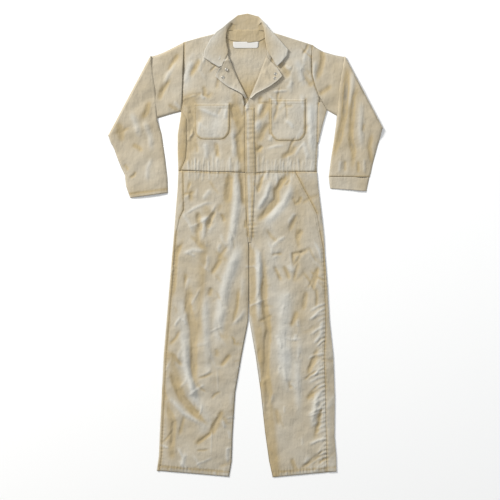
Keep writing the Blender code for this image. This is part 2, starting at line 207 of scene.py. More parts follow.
COLLAR_STAND = (
    Span(60, 701, 60, 718), Span(42, 690.2, 42, 718.4), Span(12, 686, 12, 718.6), Span(-22, 689.4, -22,
        718.6),
    Span(-45, 693.6, -45, 718.4), Span(-58, 701, -58, 718),
)
NECK_LABEL = (Span(-35, 661, 37, 661), Span(-39, 663, 41, 663), Span(-41, 667, 43, 667), Span(-42, 682,
    44, 682))
SLEEVE_RIGHT_UPPER = (
    Span(-214.9, 449, -206.9, 680), Span(-250, 440, -240, 663), Span(-296, 426, -275, 646),
    Span(-370, 400, -298, 637), Span(-457, 365, -315, 633),
)
SLEEVE_RIGHT_LOWER = (
    Span(-451, 345, -312, 608), Span(-440, 324, -307, 569), Span(-428, 290, -301, 520),
    Span(-415, 258, -297, 460), Span(-404, 236, -295, 418), Span(-402, 218, -281, 374),
    Span(-400, 199, -269, 290), Span(-393, 178, -261, 222), Span(-386, 160, -260, 176),
)
SLEEVE_LEFT_UPPER = (
    Span(272.7, 454, 225.9, 670), Span(308, 434, 262, 648), Span(370, 415, 300, 637), Span(440, 397, 322,
        633),
    Span(457, 390, 330, 631),
)
SLEEVE_LEFT_LOWER = (
    Span(452, 366, 327, 612), Span(440, 325, 320, 580), Span(434, 302, 311, 520), Span(429, 283, 310, 476),
    Span(425, 268, 306, 425), Span(422, 254, 297, 355), Span(419, 241, 287, 292), Span(415.5, 229, 279,
        230),
)
CUFF_LEFT = (Span(415, 228.5, 279, 229.5), Span(410, 205, 281, 211), Span(405, 182, 284, 191))
ARMHOLE_RIGHT = ((449, -214.9), (680, -206.9))
ARMHOLE_LEFT = (
    (454, 272.7), (499, 247.3), (534, 234.4), (571, 224.6), (608, 223.4), (645, 223.4), (670, 225.9),
)
LOW, HIGH, FLAT = 4.6, 7.6, 0.9
COLLAR_FALL = (
    Leaf(-70, 632, -64, 634, -79, 600, LOW, HIGH), Leaf(-74, 643, -60, 643, -89, 596, LOW, HIGH),
    Leaf(-76, 652, -60, 653, -113, 610, LOW, HIGH), Leaf(-78, 664, -63, 664, -140, 628, LOW, HIGH),
    Leaf(-79, 677, -66, 678, -139, 649, LOW, HIGH), Leaf(-78, 692, -67, 693, -119, 687, LOW, HIGH),
    Leaf(-73, 709, -66, 708, -97, 714, LOW, HIGH), Leaf(-60, 719, -62, 725, -75, 729, 3.4, 6.4),
    Leaf(-50, 719, -48, 745, -55, 747, 2.0, 5.0), Leaf(-28, 719.2, -27, 745, -26, 771, FLAT, FLAT),
    Leaf(8, 719.2, 8, 748, 7, 777, FLAT, FLAT), Leaf(36, 719.2, 40, 745, 44, 767, FLAT, FLAT),
    Leaf(50, 719, 54, 747, 61, 748, 2.0, 5.0), Leaf(61, 719, 62, 728, 76, 728, 3.4, 6.4),
    Leaf(74, 709, 66, 708, 95, 708, LOW, HIGH), Leaf(80, 692, 67, 688, 114, 687, LOW, HIGH),
    Leaf(83, 677, 70, 673, 144, 653, LOW, HIGH), Leaf(85, 665, 72, 661, 139, 634, LOW, HIGH),
    Leaf(87, 655, 75, 652, 122, 614, LOW, HIGH), Leaf(89, 646, 79, 644, 106, 599, LOW, HIGH),
    Leaf(91, 640, 83, 638, 101, 606, LOW, HIGH),
)
SNAPS = {
    "snap_right_upper": (-64, 588), "snap_right_lower": (-76, 562),
    "snap_left_upper": (100, 573), "snap_left_lower": (98, 558),
}
GATHERS = (
    -192, -179, -169, -154, -142, -123, -109, -94, -79, -62, -52, -35, -24, 45, 58, 72, 89, 102, 115, 126,
        139,
    154, 164, 178, 192, 206, 219,
)
BODICE_CREASES = (
    Crease(((-209, 501), (-193, 477), (-166, 437), (-152, 407)), 15.5, 15.5, -2.6),
    Crease(((-183, 457), (-179, 394), (-176, 307)), 15.5, 12, -1.8),
    Crease(((-52, 477), (-25, 430), (-5, 384)), 13.5, 12, -2.4),
    Crease(((-25, 367), (-18, 303), (-15, 273)), 8.5, 8.5, -1.8),
    Crease(((-179, 501), (-149, 508), (-116, 497)), 5, 5, -0.8),
    Crease(((-206, 481), (-186, 441), (-176, 407)), 8.5, 8.5, 1.6),
    Crease(((-149, 631), (-162, 605), (-193, 558)), 8.5, 10, -1.7),
    Crease(((-179, 621), (-193, 581), (-203, 541)), 10, 10, 1.5),
    Crease(((79, 487), (62, 451), (32, 407)), 10, 12, -2.4),
    Crease(((79, 414), (59, 380), (45, 343)), 8.5, 10, -1.6),
    Crease(((59, 333), (35, 313)), 5, 7, -2.2),
    Crease(((169, 337), (156, 313), (136, 303), (116, 290)), 7, 8.5, -1.8),
    Crease(((216, 484), (219, 374), (226, 310)), 10, 10, 2.2),
    Crease(((193, 353), (203, 313), (213, 286)), 7, 7, 1.2),
    Crease(((55, 487), (45, 437), (35, 370)), 10, 8.5, 1.8),
    Crease(((-136, 347), (-129, 313), (-132, 286)), 8.5, 8.5, 1.4),
    Crease(((-102, 353), (-99, 320), (-89, 286)), 7, 7, -1.2),
    Crease(((-45, 394), (-39, 333), (-42, 286)), 8.5, 7, 1.3),
    Crease(((99, 621), (129, 595), (149, 554)), 13.5, 12, -1),
    Crease(((169, 628), (186, 581), (193, 528)), 12, 13.5, 1.4),
)
TROUSER_CREASES = (
    Crease(((-15, 260), (-7, 203), (-5, 129)), 5, 10, -3),
    Crease(((-52, 246), (-55, 183), (-62, 139)), 10, 12, -2.8),
    Crease(((-32, 236), (-28, 152), (-42, 52), (-65, -55)), 12, 12, 2.6),
    Crease(((-102, 116), (-116, 85), (-126, 55)), 5, 12, -2.4),
    Crease(((-159, 116), (-156, 82), (-149, 45)), 7, 8.5, -2.4),
    Crease(((-206, 102), (-169, 126), (-132, 142), (-102, 142)), 5, 5, 1),
    Crease(((-132, 109), (-139, 59), (-142, 8)), 8.5, 7, 1.6),
    Crease(((-186, 219), (-189, 179), (-179, 142)), 8.5, 7, -1.4),
    Crease(((149, 243), (119, 213), (102, 186), (102, 152), (69, 112), (32, 75)), 10, 8.5, -3.4),
    Crease(((62, 240), (49, 203), (39, 173)), 5, 7, -1.8),
    Crease(((85, 219), (69, 166), (35, 112)), 7, 8.5, 2),
    Crease(((159, 206), (129, 142), (62, 65)), 12, 10, 2.4),
    Crease(((189, 166), (179, 146), (162, 136)), 5, 5, -1.4),
    Crease(((173, 106), (159, 79), (146, 45)), 7, 7, -1.4),
    Crease(((-206, 25), (-233, -32), (-243, -183)), 7, 7, -2.2),
    Crease(((-213, -28), (-176, -15), (-129, -18)), 7, 7, 1.2),
    Crease(((-162, 62), (-159, 25), (-156, -5)), 5, 8.5, -1.4),
    Crease(((-79, -42), (-99, -72), (-116, -99)), 7, 7, -1.8),
    Crease(((-112, -139), (-119, -156), (-122, -173)), 7, 7, -1.2),
    Crease(((-189, -126), (-196, -196), (-176, -280), (-176, -437), (-152, -518)), 13.5, 10, -3),
    Crease(((-209, -283), (-196, -410), (-159, -538)), 10, 10, 2.8),
    Crease(((-18, 15), (-65, -126), (-89, -266), (-95, -350)), 17, 15.5, 3.2),
    Crease(((-22, -136), (-28, -209), (-45, -266)), 5, 7, -1.2),
    Crease(((-256, -417), (-216, -508), (-196, -528), (-142, -588)), 8.5, 8.5, -2.6),
    Crease(((-250, -357), (-229, -384), (-209, -410)), 7, 7, -1.5),
    Crease(((-253, -508), (-206, -561), (-142, -601)), 7, 7, 1.8),
    Crease(((-263, -538), (-240, -588), (-246, -668), (-260, -682)), 8.5, 7, -2),
    Crease(((-75, -548), (-106, -605), (-109, -638)), 8.5, 7, -2.2),
    Crease(((-112, -625), (-139, -645), (-166, -665)), 5, 5, -1.5),
    Crease(((-166, -685), (-142, -685), (-122, -682)), 3.5, 3.5, -1),
    Crease(((-162, -444), (-132, -437), (-106, -424)), 5, 5, -1.1),
    Crease(((-49, -360), (-69, -387), (-85, -410)), 7, 7, -1.6),
    Crease(((-112, -605), (-116, -709)), 2.5, 2.5, 0.6),
    Crease(((-95, -410), (-92, -491)), 2.5, 2.5, 0.6),
    Crease(((-136, -149), (-132, -317), (-122, -451)), 13.5, 13.5, 1.8),
    Crease(((22, 5), (42, -28), (45, -79), (42, -283)), 8.5, 10, 2.6),
    Crease(((55, -5), (62, -79), (62, -196), (75, -280), (65, -427), (75, -491), (69, -581), (85, -698)),
        10, 8.5, -2.8),
    Crease(((85, -32), (106, -28), (126, -28)), 5, 5, -1.4),
    Crease(((216, -5), (193, -22), (159, -28), (159, -75)), 7, 5, -1.9),
    Crease(((189, 55), (179, 35), (173, 15)), 7, 7, -1.7),
    Crease(((126, -65), (139, -89), (149, -116)), 5, 7, -1.6),
    Crease(((95, -65), (109, -95), (122, -122)), 5, 7, -1.6),
    Crease(((243, -69), (236, -102), (226, -149)), 5, 7, -2.4),
    Crease(((203, -149), (199, -183), (193, -219)), 7, 7, -1.6),
    Crease(((173, -216), (162, -246), (149, -276)), 7, 7, -1.6),
    Crease(((246, -337), (226, -384), (206, -437)), 7, 7, -2.2),
    Crease(((246, -464), (226, -491), (203, -518)), 7, 7, -1.8),
    Crease(((256, -528), (240, -618), (229, -652)), 7, 7, -2),
    Crease(((260, -685), (219, -722), (179, -749)), 7, 5, -2),
    Crease(((266, -709), (246, -732)), 5, 5, -1.5),
    Crease(((240, -491), (223, -605)), 8.5, 8.5, 2.2),
    Crease(((102, -541), (112, -605)), 7, 7, -1.2),
    Crease(((152, -709), (173, -762)), 7, 7, -1.5),
    Crease(((132, -132), (126, -317), (142, -501)), 20.5, 20.5, 2.4),
    Crease(((183, -283), (173, -417), (179, -585)), 12, 12, 1.4),
)
SLEEVE_RIGHT_CREASES = (
    Crease(((-223, 645), (-246, 605), (-260, 578)), 7, 7, -1.8),
    Crease(((-253, 558), (-280, 514), (-290, 484)), 7, 8.5, -2.2),
    Crease(((-233, 621), (-260, 568), (-276, 521)), 7, 7, 1.4),
    Crease(((-260, 474), (-243, 461), (-223, 451)), 5, 5, -1.5),
    Crease(((-240, 484), (-226, 467), (-213, 454)), 4, 4, 1.2),
    Crease(((-206, 477), (-213, 461), (-219, 447)), 4, 5, -1.4),
    Crease(((-380, 340), (-357, 327), (-343, 313)), 7, 7, -1.6),
    Crease(((-407, 273), (-397, 260), (-390, 250)), 5, 5, -1.4),
    Crease(((-367, 250), (-374, 233), (-390, 226)), 5, 5, -1.4),
    Crease(((-427, 414), (-417, 380), (-414, 343)), 10, 10, -1.8),
    Crease(((-384, 447), (-367, 407), (-353, 360)), 10, 8.5, 1.6),
    Crease(((-340, 420), (-320, 370), (-313, 313)), 8.5, 8.5, 1.5),
    Crease(((-320, 487), (-330, 447), (-350, 420)), 8.5, 8.5, -1.5),
    Crease(((-441, 374), (-414, 384), (-384, 394)), 5, 5, -1.1),
    Crease(((-313, 293), (-327, 260), (-330, 213)), 7, 7, 1.1),
)
SLEEVE_LEFT_CREASES = (
    Crease(((253, 662), (260, 625), (250, 581), (236, 551)), 7, 8.5, -2.4),
    Crease(((243, 504), (263, 518), (290, 538)), 5, 7, -2),
    Crease(((236, 621), (229, 581), (226, 541)), 7, 7, 1.5),
    Crease(((340, 605), (337, 518), (330, 434), (313, 357), (300, 320), (293, 280)), 8.5, 8.5, -2.5),
    Crease(((380, 528), (360, 497), (357, 434), (353, 357), (363, 313), (360, 280), (353, 246)), 7, 8.5,
        -2),
    Crease(((360, 588), (357, 541), (347, 454)), 7, 7, 1.6),
    Crease(((397, 410), (390, 377)), 5, 5, -1.3),
    Crease(((424, 380), (414, 330), (424, 270)), 7, 7, -1.7),
    Crease(((387, 487), (384, 404), (387, 320)), 8.5, 8.5, 1.7),
    Crease(((333, 286), (333, 246)), 4, 4, -1.6),
    Crease(((317, 286), (313, 243)), 4, 4, 1.2),
    Crease(((377, 286), (377, 240)), 4, 4, -1.3),
    Crease(((397, 293), (397, 240)), 4, 4, 1.2),
)


def smooth(t: Array) -> Array:
    """An even step from 0 to 1 as t goes from 0 to 1."""
    t = np.clip(t, 0.0, 1.0)
    return t * t * (3 - 2 * t)


def nearest(path: tuple, x: Array, y: Array) -> tuple[Array, Array, Array]:
    """Where points lie against a line of straight stretches.

    Args:
        path: the line's points.
        x: the points' x.
        y: the points' y.

    Returns:
        The distance, the side (positive on the line's left) and the length along the line to the
        nearest point.
    """
    best = np.full(x.shape, 1e9)
    side, along, run = np.ones(x.shape), np.zeros(x.shape), 0.0
    for (x0, y0), (x1, y1) in zip(path, path[1:]):
        dx, dy = x1 - x0, y1 - y0
        length = math.hypot(dx, dy)
        t = np.clip(((x - x0) * dx + (y - y0) * dy) / length**2, 0.0, 1.0)
        away = np.hypot(x - x0 - t * dx, y - y0 - t * dy)
        closer = away < best
        best = np.where(closer, away, best)
        side = np.where(closer, np.where(dx * (y - y0) - dy * (x - x0) >= 0, 1.0, -1.0), side)
        along = np.where(closer, run + t * length, along)
        run += length
    return best, side, along


def left_edge(rows: tuple) -> tuple:
    """The left-hand edge of a panel's rows."""
    return tuple((row.x0, row.y0) for row in rows)


def right_edge(rows: tuple) -> tuple:
    """The right-hand edge of a panel's rows."""
    return tuple((row.x1, row.y1) for row in rows)


@dataclass
class Lay:
    """How a layer of cloth lies: lifted by air, pulled down at its edges and seams, and creased."""

    edges: tuple
    creases: tuple
    seams: tuple = ()
    rest: float = FRONT_REST
    puff: float = PUFF
    waves: int = 26
    seed: int = 7
    shade_and_wear_patches: tuple = ()

    def folds(self, x: Array, y: Array) -> Array:
        """The rise of the creases alone, in mm.

        Args:
            x: the points' x, in mm.
            y: the points' y, in mm.

        Returns:
            One value for each point.
        """
        total = np.zeros(x.shape)
        for crease in self.creases:
            away, side, along = nearest(crease.path, x, y)
            length = sum(math.dist(a, b) for a, b in zip(crease.path, crease.path[1:]))
            reach = np.where(side > 0, crease.left, crease.right)
            ends = smooth((length - along) / (0.35 * length) + 0.12)
            if not crease.open_start:
                ends = ends * smooth(along / (0.3 * length) + 0.12)
            total += FOLD_GAIN * crease.rise * ends * np.exp(-((away / reach) ** 2))
        return total

    def painted_shade_and_wear(self, x: Array, y: Array) -> Array:
        """Broad patches that change the cloth's colour and not its height: painted shade where tan, painted
        light where pale, partly the cloth's own wear.

        Args:
            x: the points' x, in mm.
            y: the points' y, in mm.

        Returns:
            One value for each point.
        """
        total = np.zeros(x.shape)
        for patch in self.shade_and_wear_patches:
            away, side, _ = nearest(patch.path, x, y)
            total += patch.rise * np.exp(-((away / np.where(side > 0, patch.left, patch.right)) ** 2))
        return total

    def height(self, x: Array, y: Array) -> Array:
        """The height of the layer's face above the surface it lies on, in mm.

        Args:
            x: the points' x, in mm.
            y: the points' y, in mm.

        Returns:
            One value for each point.
        """
        gap = np.full(x.shape, 1e9)
        for edge in self.edges:
            gap = np.minimum(gap, nearest(edge, x, y)[0])
        inner = 1 - np.exp(-gap / PUFF_REACH)
        z = self.rest + self.puff * inner + self.folds(x, y) * (0.35 + 0.65 * inner)
        rng = np.random.default_rng(self.seed)
        for _ in range(self.waves):
            angle, period = rng.uniform(0, math.pi), rng.uniform(26, 120)
            phase = rng.uniform(0, 2 * math.pi)
            wave = np.sin((x * math.cos(angle) + y * math.sin(angle)) * 2 * math.pi / period + phase)
            z += wave * WAVE_STEEPNESS * period * inner
        for seam in self.seams:
            away, _, along = nearest(seam.path, x, y)
            z -= seam.dip * np.exp(-((away / seam.reach) ** 2))
            if seam.ripple:
                beat = np.sin(along * 2 * math.pi / seam.period + 2.2 * np.sin(along / 31.0))
                swell = 0.6 + 0.4 * np.sin(along / 47)
                z += seam.ripple * beat * np.exp(-((away / seam.ripple_reach) ** 2)) * swell
        return np.maximum(z, self.rest - PRESSED)

    def tone(self, x: Array, y: Array) -> Array:
        """How the cloth is coloured: below 0.5 in the hollows, partly wear and partly painted shade, above
        it on the ridges, partly wear and partly painted light, and lowered along the seams by painted
        shade, partly the seams' own darker colour.

        Args:
            x: the points' x, in mm.
            y: the points' y, in mm.

        Returns:
            One value for each point.
        """
        tone = 0.5 + 0.4 * np.tanh((self.folds(x, y) + self.painted_shade_and_wear(x, y)) / 2.3)
        for seam in self.seams:
            tone = tone - SEAM_SHADE * np.exp(-((nearest(seam.path, x, y)[0] / SEAM_SHADE_REACH) ** 2))
        return np.clip(tone, LEAST_TONE, 1)


class Placed(NamedTuple):
    """Where a grid's points go, in mm, and the tone of the cloth there."""

    x: Array
    y: Array
    z: Array
    tone: Array


def row_at(rows: tuple, v: Array) -> tuple[Array, ...]:
    """The rows' columns at v, from 0 at the first row to 1 at the last, by length.

    Args:
        rows: the panel's rows.
        v: how far along each point is, from 0 to 1.

    Returns:
        The columns, each as one value for each point.
    """
    table = np.array(rows, float)
    ends = np.hypot(*(table[1:, :2] - table[:-1, :2]).T) + np.hypot(*(table[1:, 2:4] - table[:-1, 2:4]).T)
    knots = np.concatenate([[0], np.cumsum(ends)]) / ends.sum()
    return tuple(np.interp(v, knots, table[:, i]) for i in range(table.shape[1]))


def cloth_object(
    name: str, columns: int, rows: int, place: Callable[[Array, Array], Placed],
        material: bpy.types.Material,
    ply: float = PLY, closed: bool = False,
) -> bpy.types.Object:
    """A sheet of cloth: a grid laid out by a function, with a wall.

    Args:
        name: the piece's name.
        columns: cells across.
        rows: cells along.
        place: gives the points' places for arrays of u across and v along.
        material: its finish.
        ply: the wall in mm.
        closed: whether the last column meets the first, as in a tube.

    Returns:
        The new object.
    """
    mesh = bpy.data.meshes.new(name)
    bm = bmesh.new()
    bmesh.ops.create_grid(bm, x_segments=columns, y_segments=rows, size=0.5)
    co = np.array([vert.co for vert in bm.verts])
    placed = place(co[:, 0] + 0.5, co[:, 1] + 0.5)
    points = np.stack(np.broadcast_arrays(placed.x, placed.y, placed.z), axis=1) * MM
    for vert, point in zip(bm.verts, points):
        vert.co = point
    tone = bm.verts.layers.float.new("tone")
    for vert, value in zip(bm.verts, np.broadcast_to(placed.tone, len(points))):
        vert[tone] = float(value)
    if closed:
        bmesh.ops.remove_doubles(bm, verts=bm.verts, dist=1e-6)
        bmesh.ops.recalc_face_normals(bm, faces=bm.faces)
    for face in bm.faces:
        face.smooth = True
    bm.to_mesh(mesh)
    bm.free()
    mesh.materials.append(material)
    made = bpy.data.objects.new(name, mesh)
    bpy.context.scene.collection.objects.link(made)
    wall = made.modifiers.new("wall", "SOLIDIFY")
    wall.thickness = ply * MM
    wall.offset = -1.0 if not closed else 0.0
    return made


def declare(made: bpy.types.Object, node: str) -> bpy.types.Object:
    """The piece rides on the part's one body and stands for its CAD node, which it hides.

    Args:
        made: the piece.
        node: the CAD node that it stands for.

    Returns:
        The piece.
    """
    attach(made, "root")
    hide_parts(node)
    LOG.info("%s: %d points", made.name, len(made.data.vertices))
    return made


@dataclass(frozen=True)
class TwillFinish:
    """Washed khaki twill, coloured by a tone: darkest at its painted-shade end, tan in its hollows (partly
    painted shade, partly wear), and paler and cooler on its ridges (partly painted light, partly wear).
    """

    name: str = "khaki_twill"
    # the dark end is painted shade; the tan is partly painted shade and the pale partly painted light, each
    # also partly wear
    shade: tuple = (0.285, 0.27, 0.235)
    hollow: tuple = (0.45, 0.352, 0.198)
    cloth: tuple = (0.515, 0.455, 0.35)
    rubbed_and_lit: tuple = (0.585, 0.575, 0.53)
    roughness: float = 0.88
    weave_scale: float = 560.0
    weave: float = 0.00006

    def build(self) -> bpy.types.Material:
        """The material, with its weave and slubs as bump."""
        made = bpy.data.materials.new(self.name)
        made.use_nodes = True
        nodes, links = made.node_tree.nodes, made.node_tree.links
        shader = nodes["Principled BSDF"]
        shader.inputs["Roughness"].default_value = self.roughness
        shader.inputs["Sheen Weight"].default_value = 0.12
        shader.inputs["Sheen Roughness"].default_value = 0.5
        shader.inputs["Specular IOR Level"].default_value = 0.25
        place = nodes.new("ShaderNodeTexCoord").outputs["Object"]

        def noise(scale: float, detail: float, rough: float = 0.55) -> bpy.types.NodeSocket:
            """A noise on the piece's own place.

            Args:
                scale: the noise's scale.
                detail: how many finer layers it has.
                rough: how strong those are.

            Returns:
                The noise's output.
            """
            node = nodes.new("ShaderNodeTexNoise")
            node.inputs["Scale"].default_value = scale
            node.inputs["Detail"].default_value = detail
            node.inputs["Roughness"].default_value = rough
            links.new(place, node.inputs["Vector"])
            return node.outputs["Fac"]

        tone = nodes.new("ShaderNodeAttribute")
        tone.attribute_name = "tone"
        mottle = nodes.new("ShaderNodeMapRange")
        mottle.inputs["From Min"].default_value = 0.3
        mottle.inputs["From Max"].default_value = 0.7
        mottle.inputs["To Min"].default_value = -0.09
        mottle.inputs["To Max"].default_value = 0.12
        links.new(noise(7.0, 4.0), mottle.inputs["Value"])
        total = nodes.new("ShaderNodeMath")
        total.operation = "ADD"
        links.new(tone.outputs["Fac"], total.inputs[0])
        links.new(mottle.outputs["Result"], total.inputs[1])
        ramp = nodes.new("ShaderNodeValToRGB")
        ramp.color_ramp.elements[0].position = 0.03
        ramp.color_ramp.elements[0].color = (*self.shade, 1)
        ramp.color_ramp.elements.new(0.16).color = (*self.hollow, 1)
        ramp.color_ramp.elements[-1].position = 0.98
        ramp.color_ramp.elements[-1].color = (*self.rubbed_and_lit, 1)
        ramp.color_ramp.elements.new(0.5).color = (*self.cloth, 1)
        links.new(total.outputs[0], ramp.inputs["Fac"])
        weave = nodes.new("ShaderNodeTexWave")
        weave.bands_direction = "DIAGONAL"
        weave.inputs["Scale"].default_value = self.weave_scale
        weave.inputs["Distortion"].default_value = 1.2
        weave.inputs["Detail"].default_value = 1.0
        links.new(place, weave.inputs["Vector"])
        fleck = nodes.new("ShaderNodeMix")
        fleck.data_type = "RGBA"
        fleck.blend_type = "MULTIPLY"
        fleck.inputs["Factor"].default_value = 0.16
        links.new(ramp.outputs["Color"], fleck.inputs["A"])
        links.new(weave.outputs["Color"], fleck.inputs["B"])
        links.new(fleck.outputs["Result"], shader.inputs["Base Color"])
        crinkle = nodes.new("ShaderNodeBump")
        crinkle.inputs["Strength"].default_value = 0.7
        crinkle.inputs["Distance"].default_value = 0.0032
        drawn = nodes.new("ShaderNodeMapping")
        drawn.inputs["Scale"].default_value = (1.0, 0.3, 1.0)
        drawn.inputs["Rotation"].default_value = (0, 0, 0.12)
        links.new(place, drawn.inputs["Vector"])
        wrinkle = noise(64.0, 6.0, 0.6)
        links.new(drawn.outputs["Vector"], wrinkle.node.inputs["Vector"])
        links.new(wrinkle, crinkle.inputs["Height"])
        rumple = nodes.new("ShaderNodeBump")
        rumple.inputs["Strength"].default_value = 0.8
        rumple.inputs["Distance"].default_value = 0.008
        links.new(noise(15.0, 3.0), rumple.inputs["Height"])
        links.new(rumple.outputs["Normal"], crinkle.inputs["Normal"])
        threads = nodes.new("ShaderNodeBump")
        threads.inputs["Strength"].default_value = 0.6
        threads.inputs["Distance"].default_value = self.weave
        links.new(weave.outputs["Fac"], threads.inputs["Height"])
        links.new(crinkle.outputs["Normal"], threads.inputs["Normal"])
        links.new(threads.outputs["Normal"], shader.inputs["Normal"])
        return made


@dataclass(frozen=True)
class PlainFinish:
    """A small piece's finish: one colour, broken by fine grain."""

    name: str
    colour: tuple
    roughness: float
    metallic: float = 0.0
    grain: float = 900.0
    spread: float = 0.14

    def build(self) -> bpy.types.Material:
        """The material."""
        made = bpy.data.materials.new(self.name)
        made.use_nodes = True
        nodes, links = made.node_tree.nodes, made.node_tree.links
        shader = nodes["Principled BSDF"]
        shader.inputs["Metallic"].default_value = self.metallic
        place = nodes.new("ShaderNodeTexCoord")
        noise = nodes.new("ShaderNodeTexNoise")
        noise.inputs["Scale"].default_value = self.grain
        noise.inputs["Detail"].default_value = 3.0
        links.new(place.outputs["Object"], noise.inputs["Vector"])
        ramp = nodes.new("ShaderNodeValToRGB")
        ramp.color_ramp.elements[0].position = 0.3
        ramp.color_ramp.elements[0].color = (*(c * (1 - self.spread) for c in self.colour), 1)
        ramp.color_ramp.elements[1].position = 0.7
        ramp.color_ramp.elements[1].color = (*self.colour, 1)
        links.new(noise.outputs["Fac"], ramp.inputs["Fac"])
        links.new(ramp.outputs["Color"], shader.inputs["Base Color"])
        shader.inputs["Roughness"].default_value = self.roughness
        bump = nodes.new("ShaderNodeBump")
        bump.inputs["Strength"].default_value = 0.3
        bump.inputs["Distance"].default_value = 0.0002
        links.new(noise.outputs["Fac"], bump.inputs["Height"])
        links.new(bump.outputs["Normal"], shader.inputs["Normal"])
        return made


def pleats() -> tuple:
    """The gathers above the waist seam, and the shorter puckers below it."""
    rng = np.random.default_rng(3)
    rows = []
    for x in GATHERS:
        lean, tall = rng.uniform(-4, 4), rng.uniform(34, 62)
        x += rng.uniform(-3, 3)
        rise, reach = rng.uniform(0.5, 1.25), rng.uniform(2.8, 4.6)
        rows.append(Crease(((x, 248), (x + lean * 0.4, 248 + tall * 0.5), (x + lean, 248 + tall)), reach,
            reach, rise, True))
        rows.append(Crease(((x + 6, 249), (x + 6 + lean, 249 + tall * 0.6)), 2.6, 2.6, rise * 0.5, True))
        rows.append(Crease(((x + 3, 251), (x + 3 - lean, 251 + tall * 0.9)), 2.6, 2.6, -rise * 0.4, True))
        rows.append(Crease(((x, 242), (x - lean, 242 - rng.uniform(14, 34))), reach, reach, rise * 0.5,
            True))
    return tuple(rows)


def scattered(seed: int, count: int, box: tuple, slant: float) -> tuple:
    """Small creases strewn over a region.

    Args:
        seed: for the random draws.
        count: how many.
        box: the region's x0, y0, x1, y1.
        slant: the angle that most of them follow, in degrees.

    Returns:
        The creases.
    """
    rng = np.random.default_rng(seed)
    rows = []
    for _ in range(count):
        x, y = rng.uniform(box[0], box[2]), rng.uniform(box[1], box[3])
        angle = math.radians(slant + rng.normal(0, 38))
        half, bow = rng.uniform(12, 42), rng.uniform(-6, 6)
        dx, dy = math.cos(angle) * half, math.sin(angle) * half
        rise = rng.uniform(0.4, 1.3) * rng.choice((-1, 1))
        reach = rng.uniform(2.8, 6.0)
        rows.append(Crease(((x - dx, y - dy), (x - dy * bow / half, y + dx * bow / half), (x + dx,
            y + dy)), reach, reach * 1.4, rise))
    return tuple(rows)


def puckers() -> tuple:
    """The puckers that pull away from the left leg's side seam and stand along both hems and inseams."""
    rng = np.random.default_rng(5)
    rows = []
    seam = np.array(sorted((b, a) for a, b in right_edge(TROUSER_FRONT_LEFT)[:9])).T
    for y in np.arange(-735, -180, 15.0):
        x, reach = float(np.interp(y, *seam)) - 3, rng.uniform(3.0, 5.0)
        out, drop = rng.uniform(18, 62), rng.uniform(14, 46)
        bend = (x - out * 0.45, y - drop * 0.3)
        rows.append(Crease(((x, y), bend, (x - out, y - drop)), reach, reach, rng.uniform(0.5, 1.5), True))
    for low, high in (((-288, -752), (-56, -772)), ((92, -774), (302, -755))):
        for t in np.arange(0.03, 0.98, 0.045):
            x, y = low[0] + (high[0] - low[0]) * t, low[1] + (high[1] - low[1]) * t
            lean, tall = rng.uniform(-5, 5), rng.uniform(12, 26)
            rows.append(Crease(((x, y + 2), (x + lean, y + tall)), 3.0, 3.0, rng.uniform(-0.8, 0.9), True))
    for y in np.arange(-740, -300, 21.0):
        x = float(np.interp(y, (-760, -300), (-56, -6)))
        rows.append(Crease(((x, y), (x - rng.uniform(12, 30), y - 6)), 3.0, 3.6, rng.uniform(-0.5, 0.9),
            True))
    return tuple(rows)


# Broad patches of painted shade (negative rise, tan) and painted light (positive rise, pale), partly the
# cloth's own wear.
BROAD_SHADE_AND_WEAR = (
    Crease(((-209, -200), (-209, -250), (-186, -450), (-136, -618)), 26, 20, 1.5),
    Crease(((-130, 120), (-152, -250), (-126, -384)), 12, 16, -1.6),
    Crease(((-253, -367), (-203, -518), (-152, -585)), 12, 14, -1.8),
    Crease(((-256, -534), (-246, -700)), 13, 13, -1.6),
    Crease(((-92, -601), (-159, -658)), 9, 12, -1.6),
    Crease(((20, -20), (40, -256), (78, -518), (102, -770)), 14, 22, -2.6, True),
    Crease(((14, -240), (50, -450)), 6, 6, 2.0),
    Crease(((262, -500), (284, -740)), 16, 16, 1.5),
    Crease(((-186, 490), (-196, 400), (-205, 300)), 24, 24, -2.4),
    Crease(((25, 460), (30, 250)), 15, 15, -1.7, True),
    Crease(((-35, 500), (-12, 320), (-10, 250)), 13, 13, -1.5),
    Crease(((236, 500), (233, 320), (224, 250)), 20, 20, 1.7),
    Crease(((-70, 470), (-110, 380), (-100, 290)), 22, 22, 0.9),
    Crease(((100, 240), (80, 60), (100, -200)), 26, 26, 0.9),
    Crease(((170, 180), (190, -100), (170, -420)), 20, 20, -0.8),
    Crease(((-60, 180), (-60, -60), (-72, -300)), 16, 16, -1.0),
    Crease(((-110, 680), (-180, 600), (-215, 520)), 24, 24, 0.8),
    Crease(((120, 640), (200, 640), (250, 600)), 20, 20, 0.8),
)
WAIST = ((-224, 251), (-106, 244), (-14, 246), (3, 240), (37, 241), (75, 247), (168, 246), (238, 246.5))
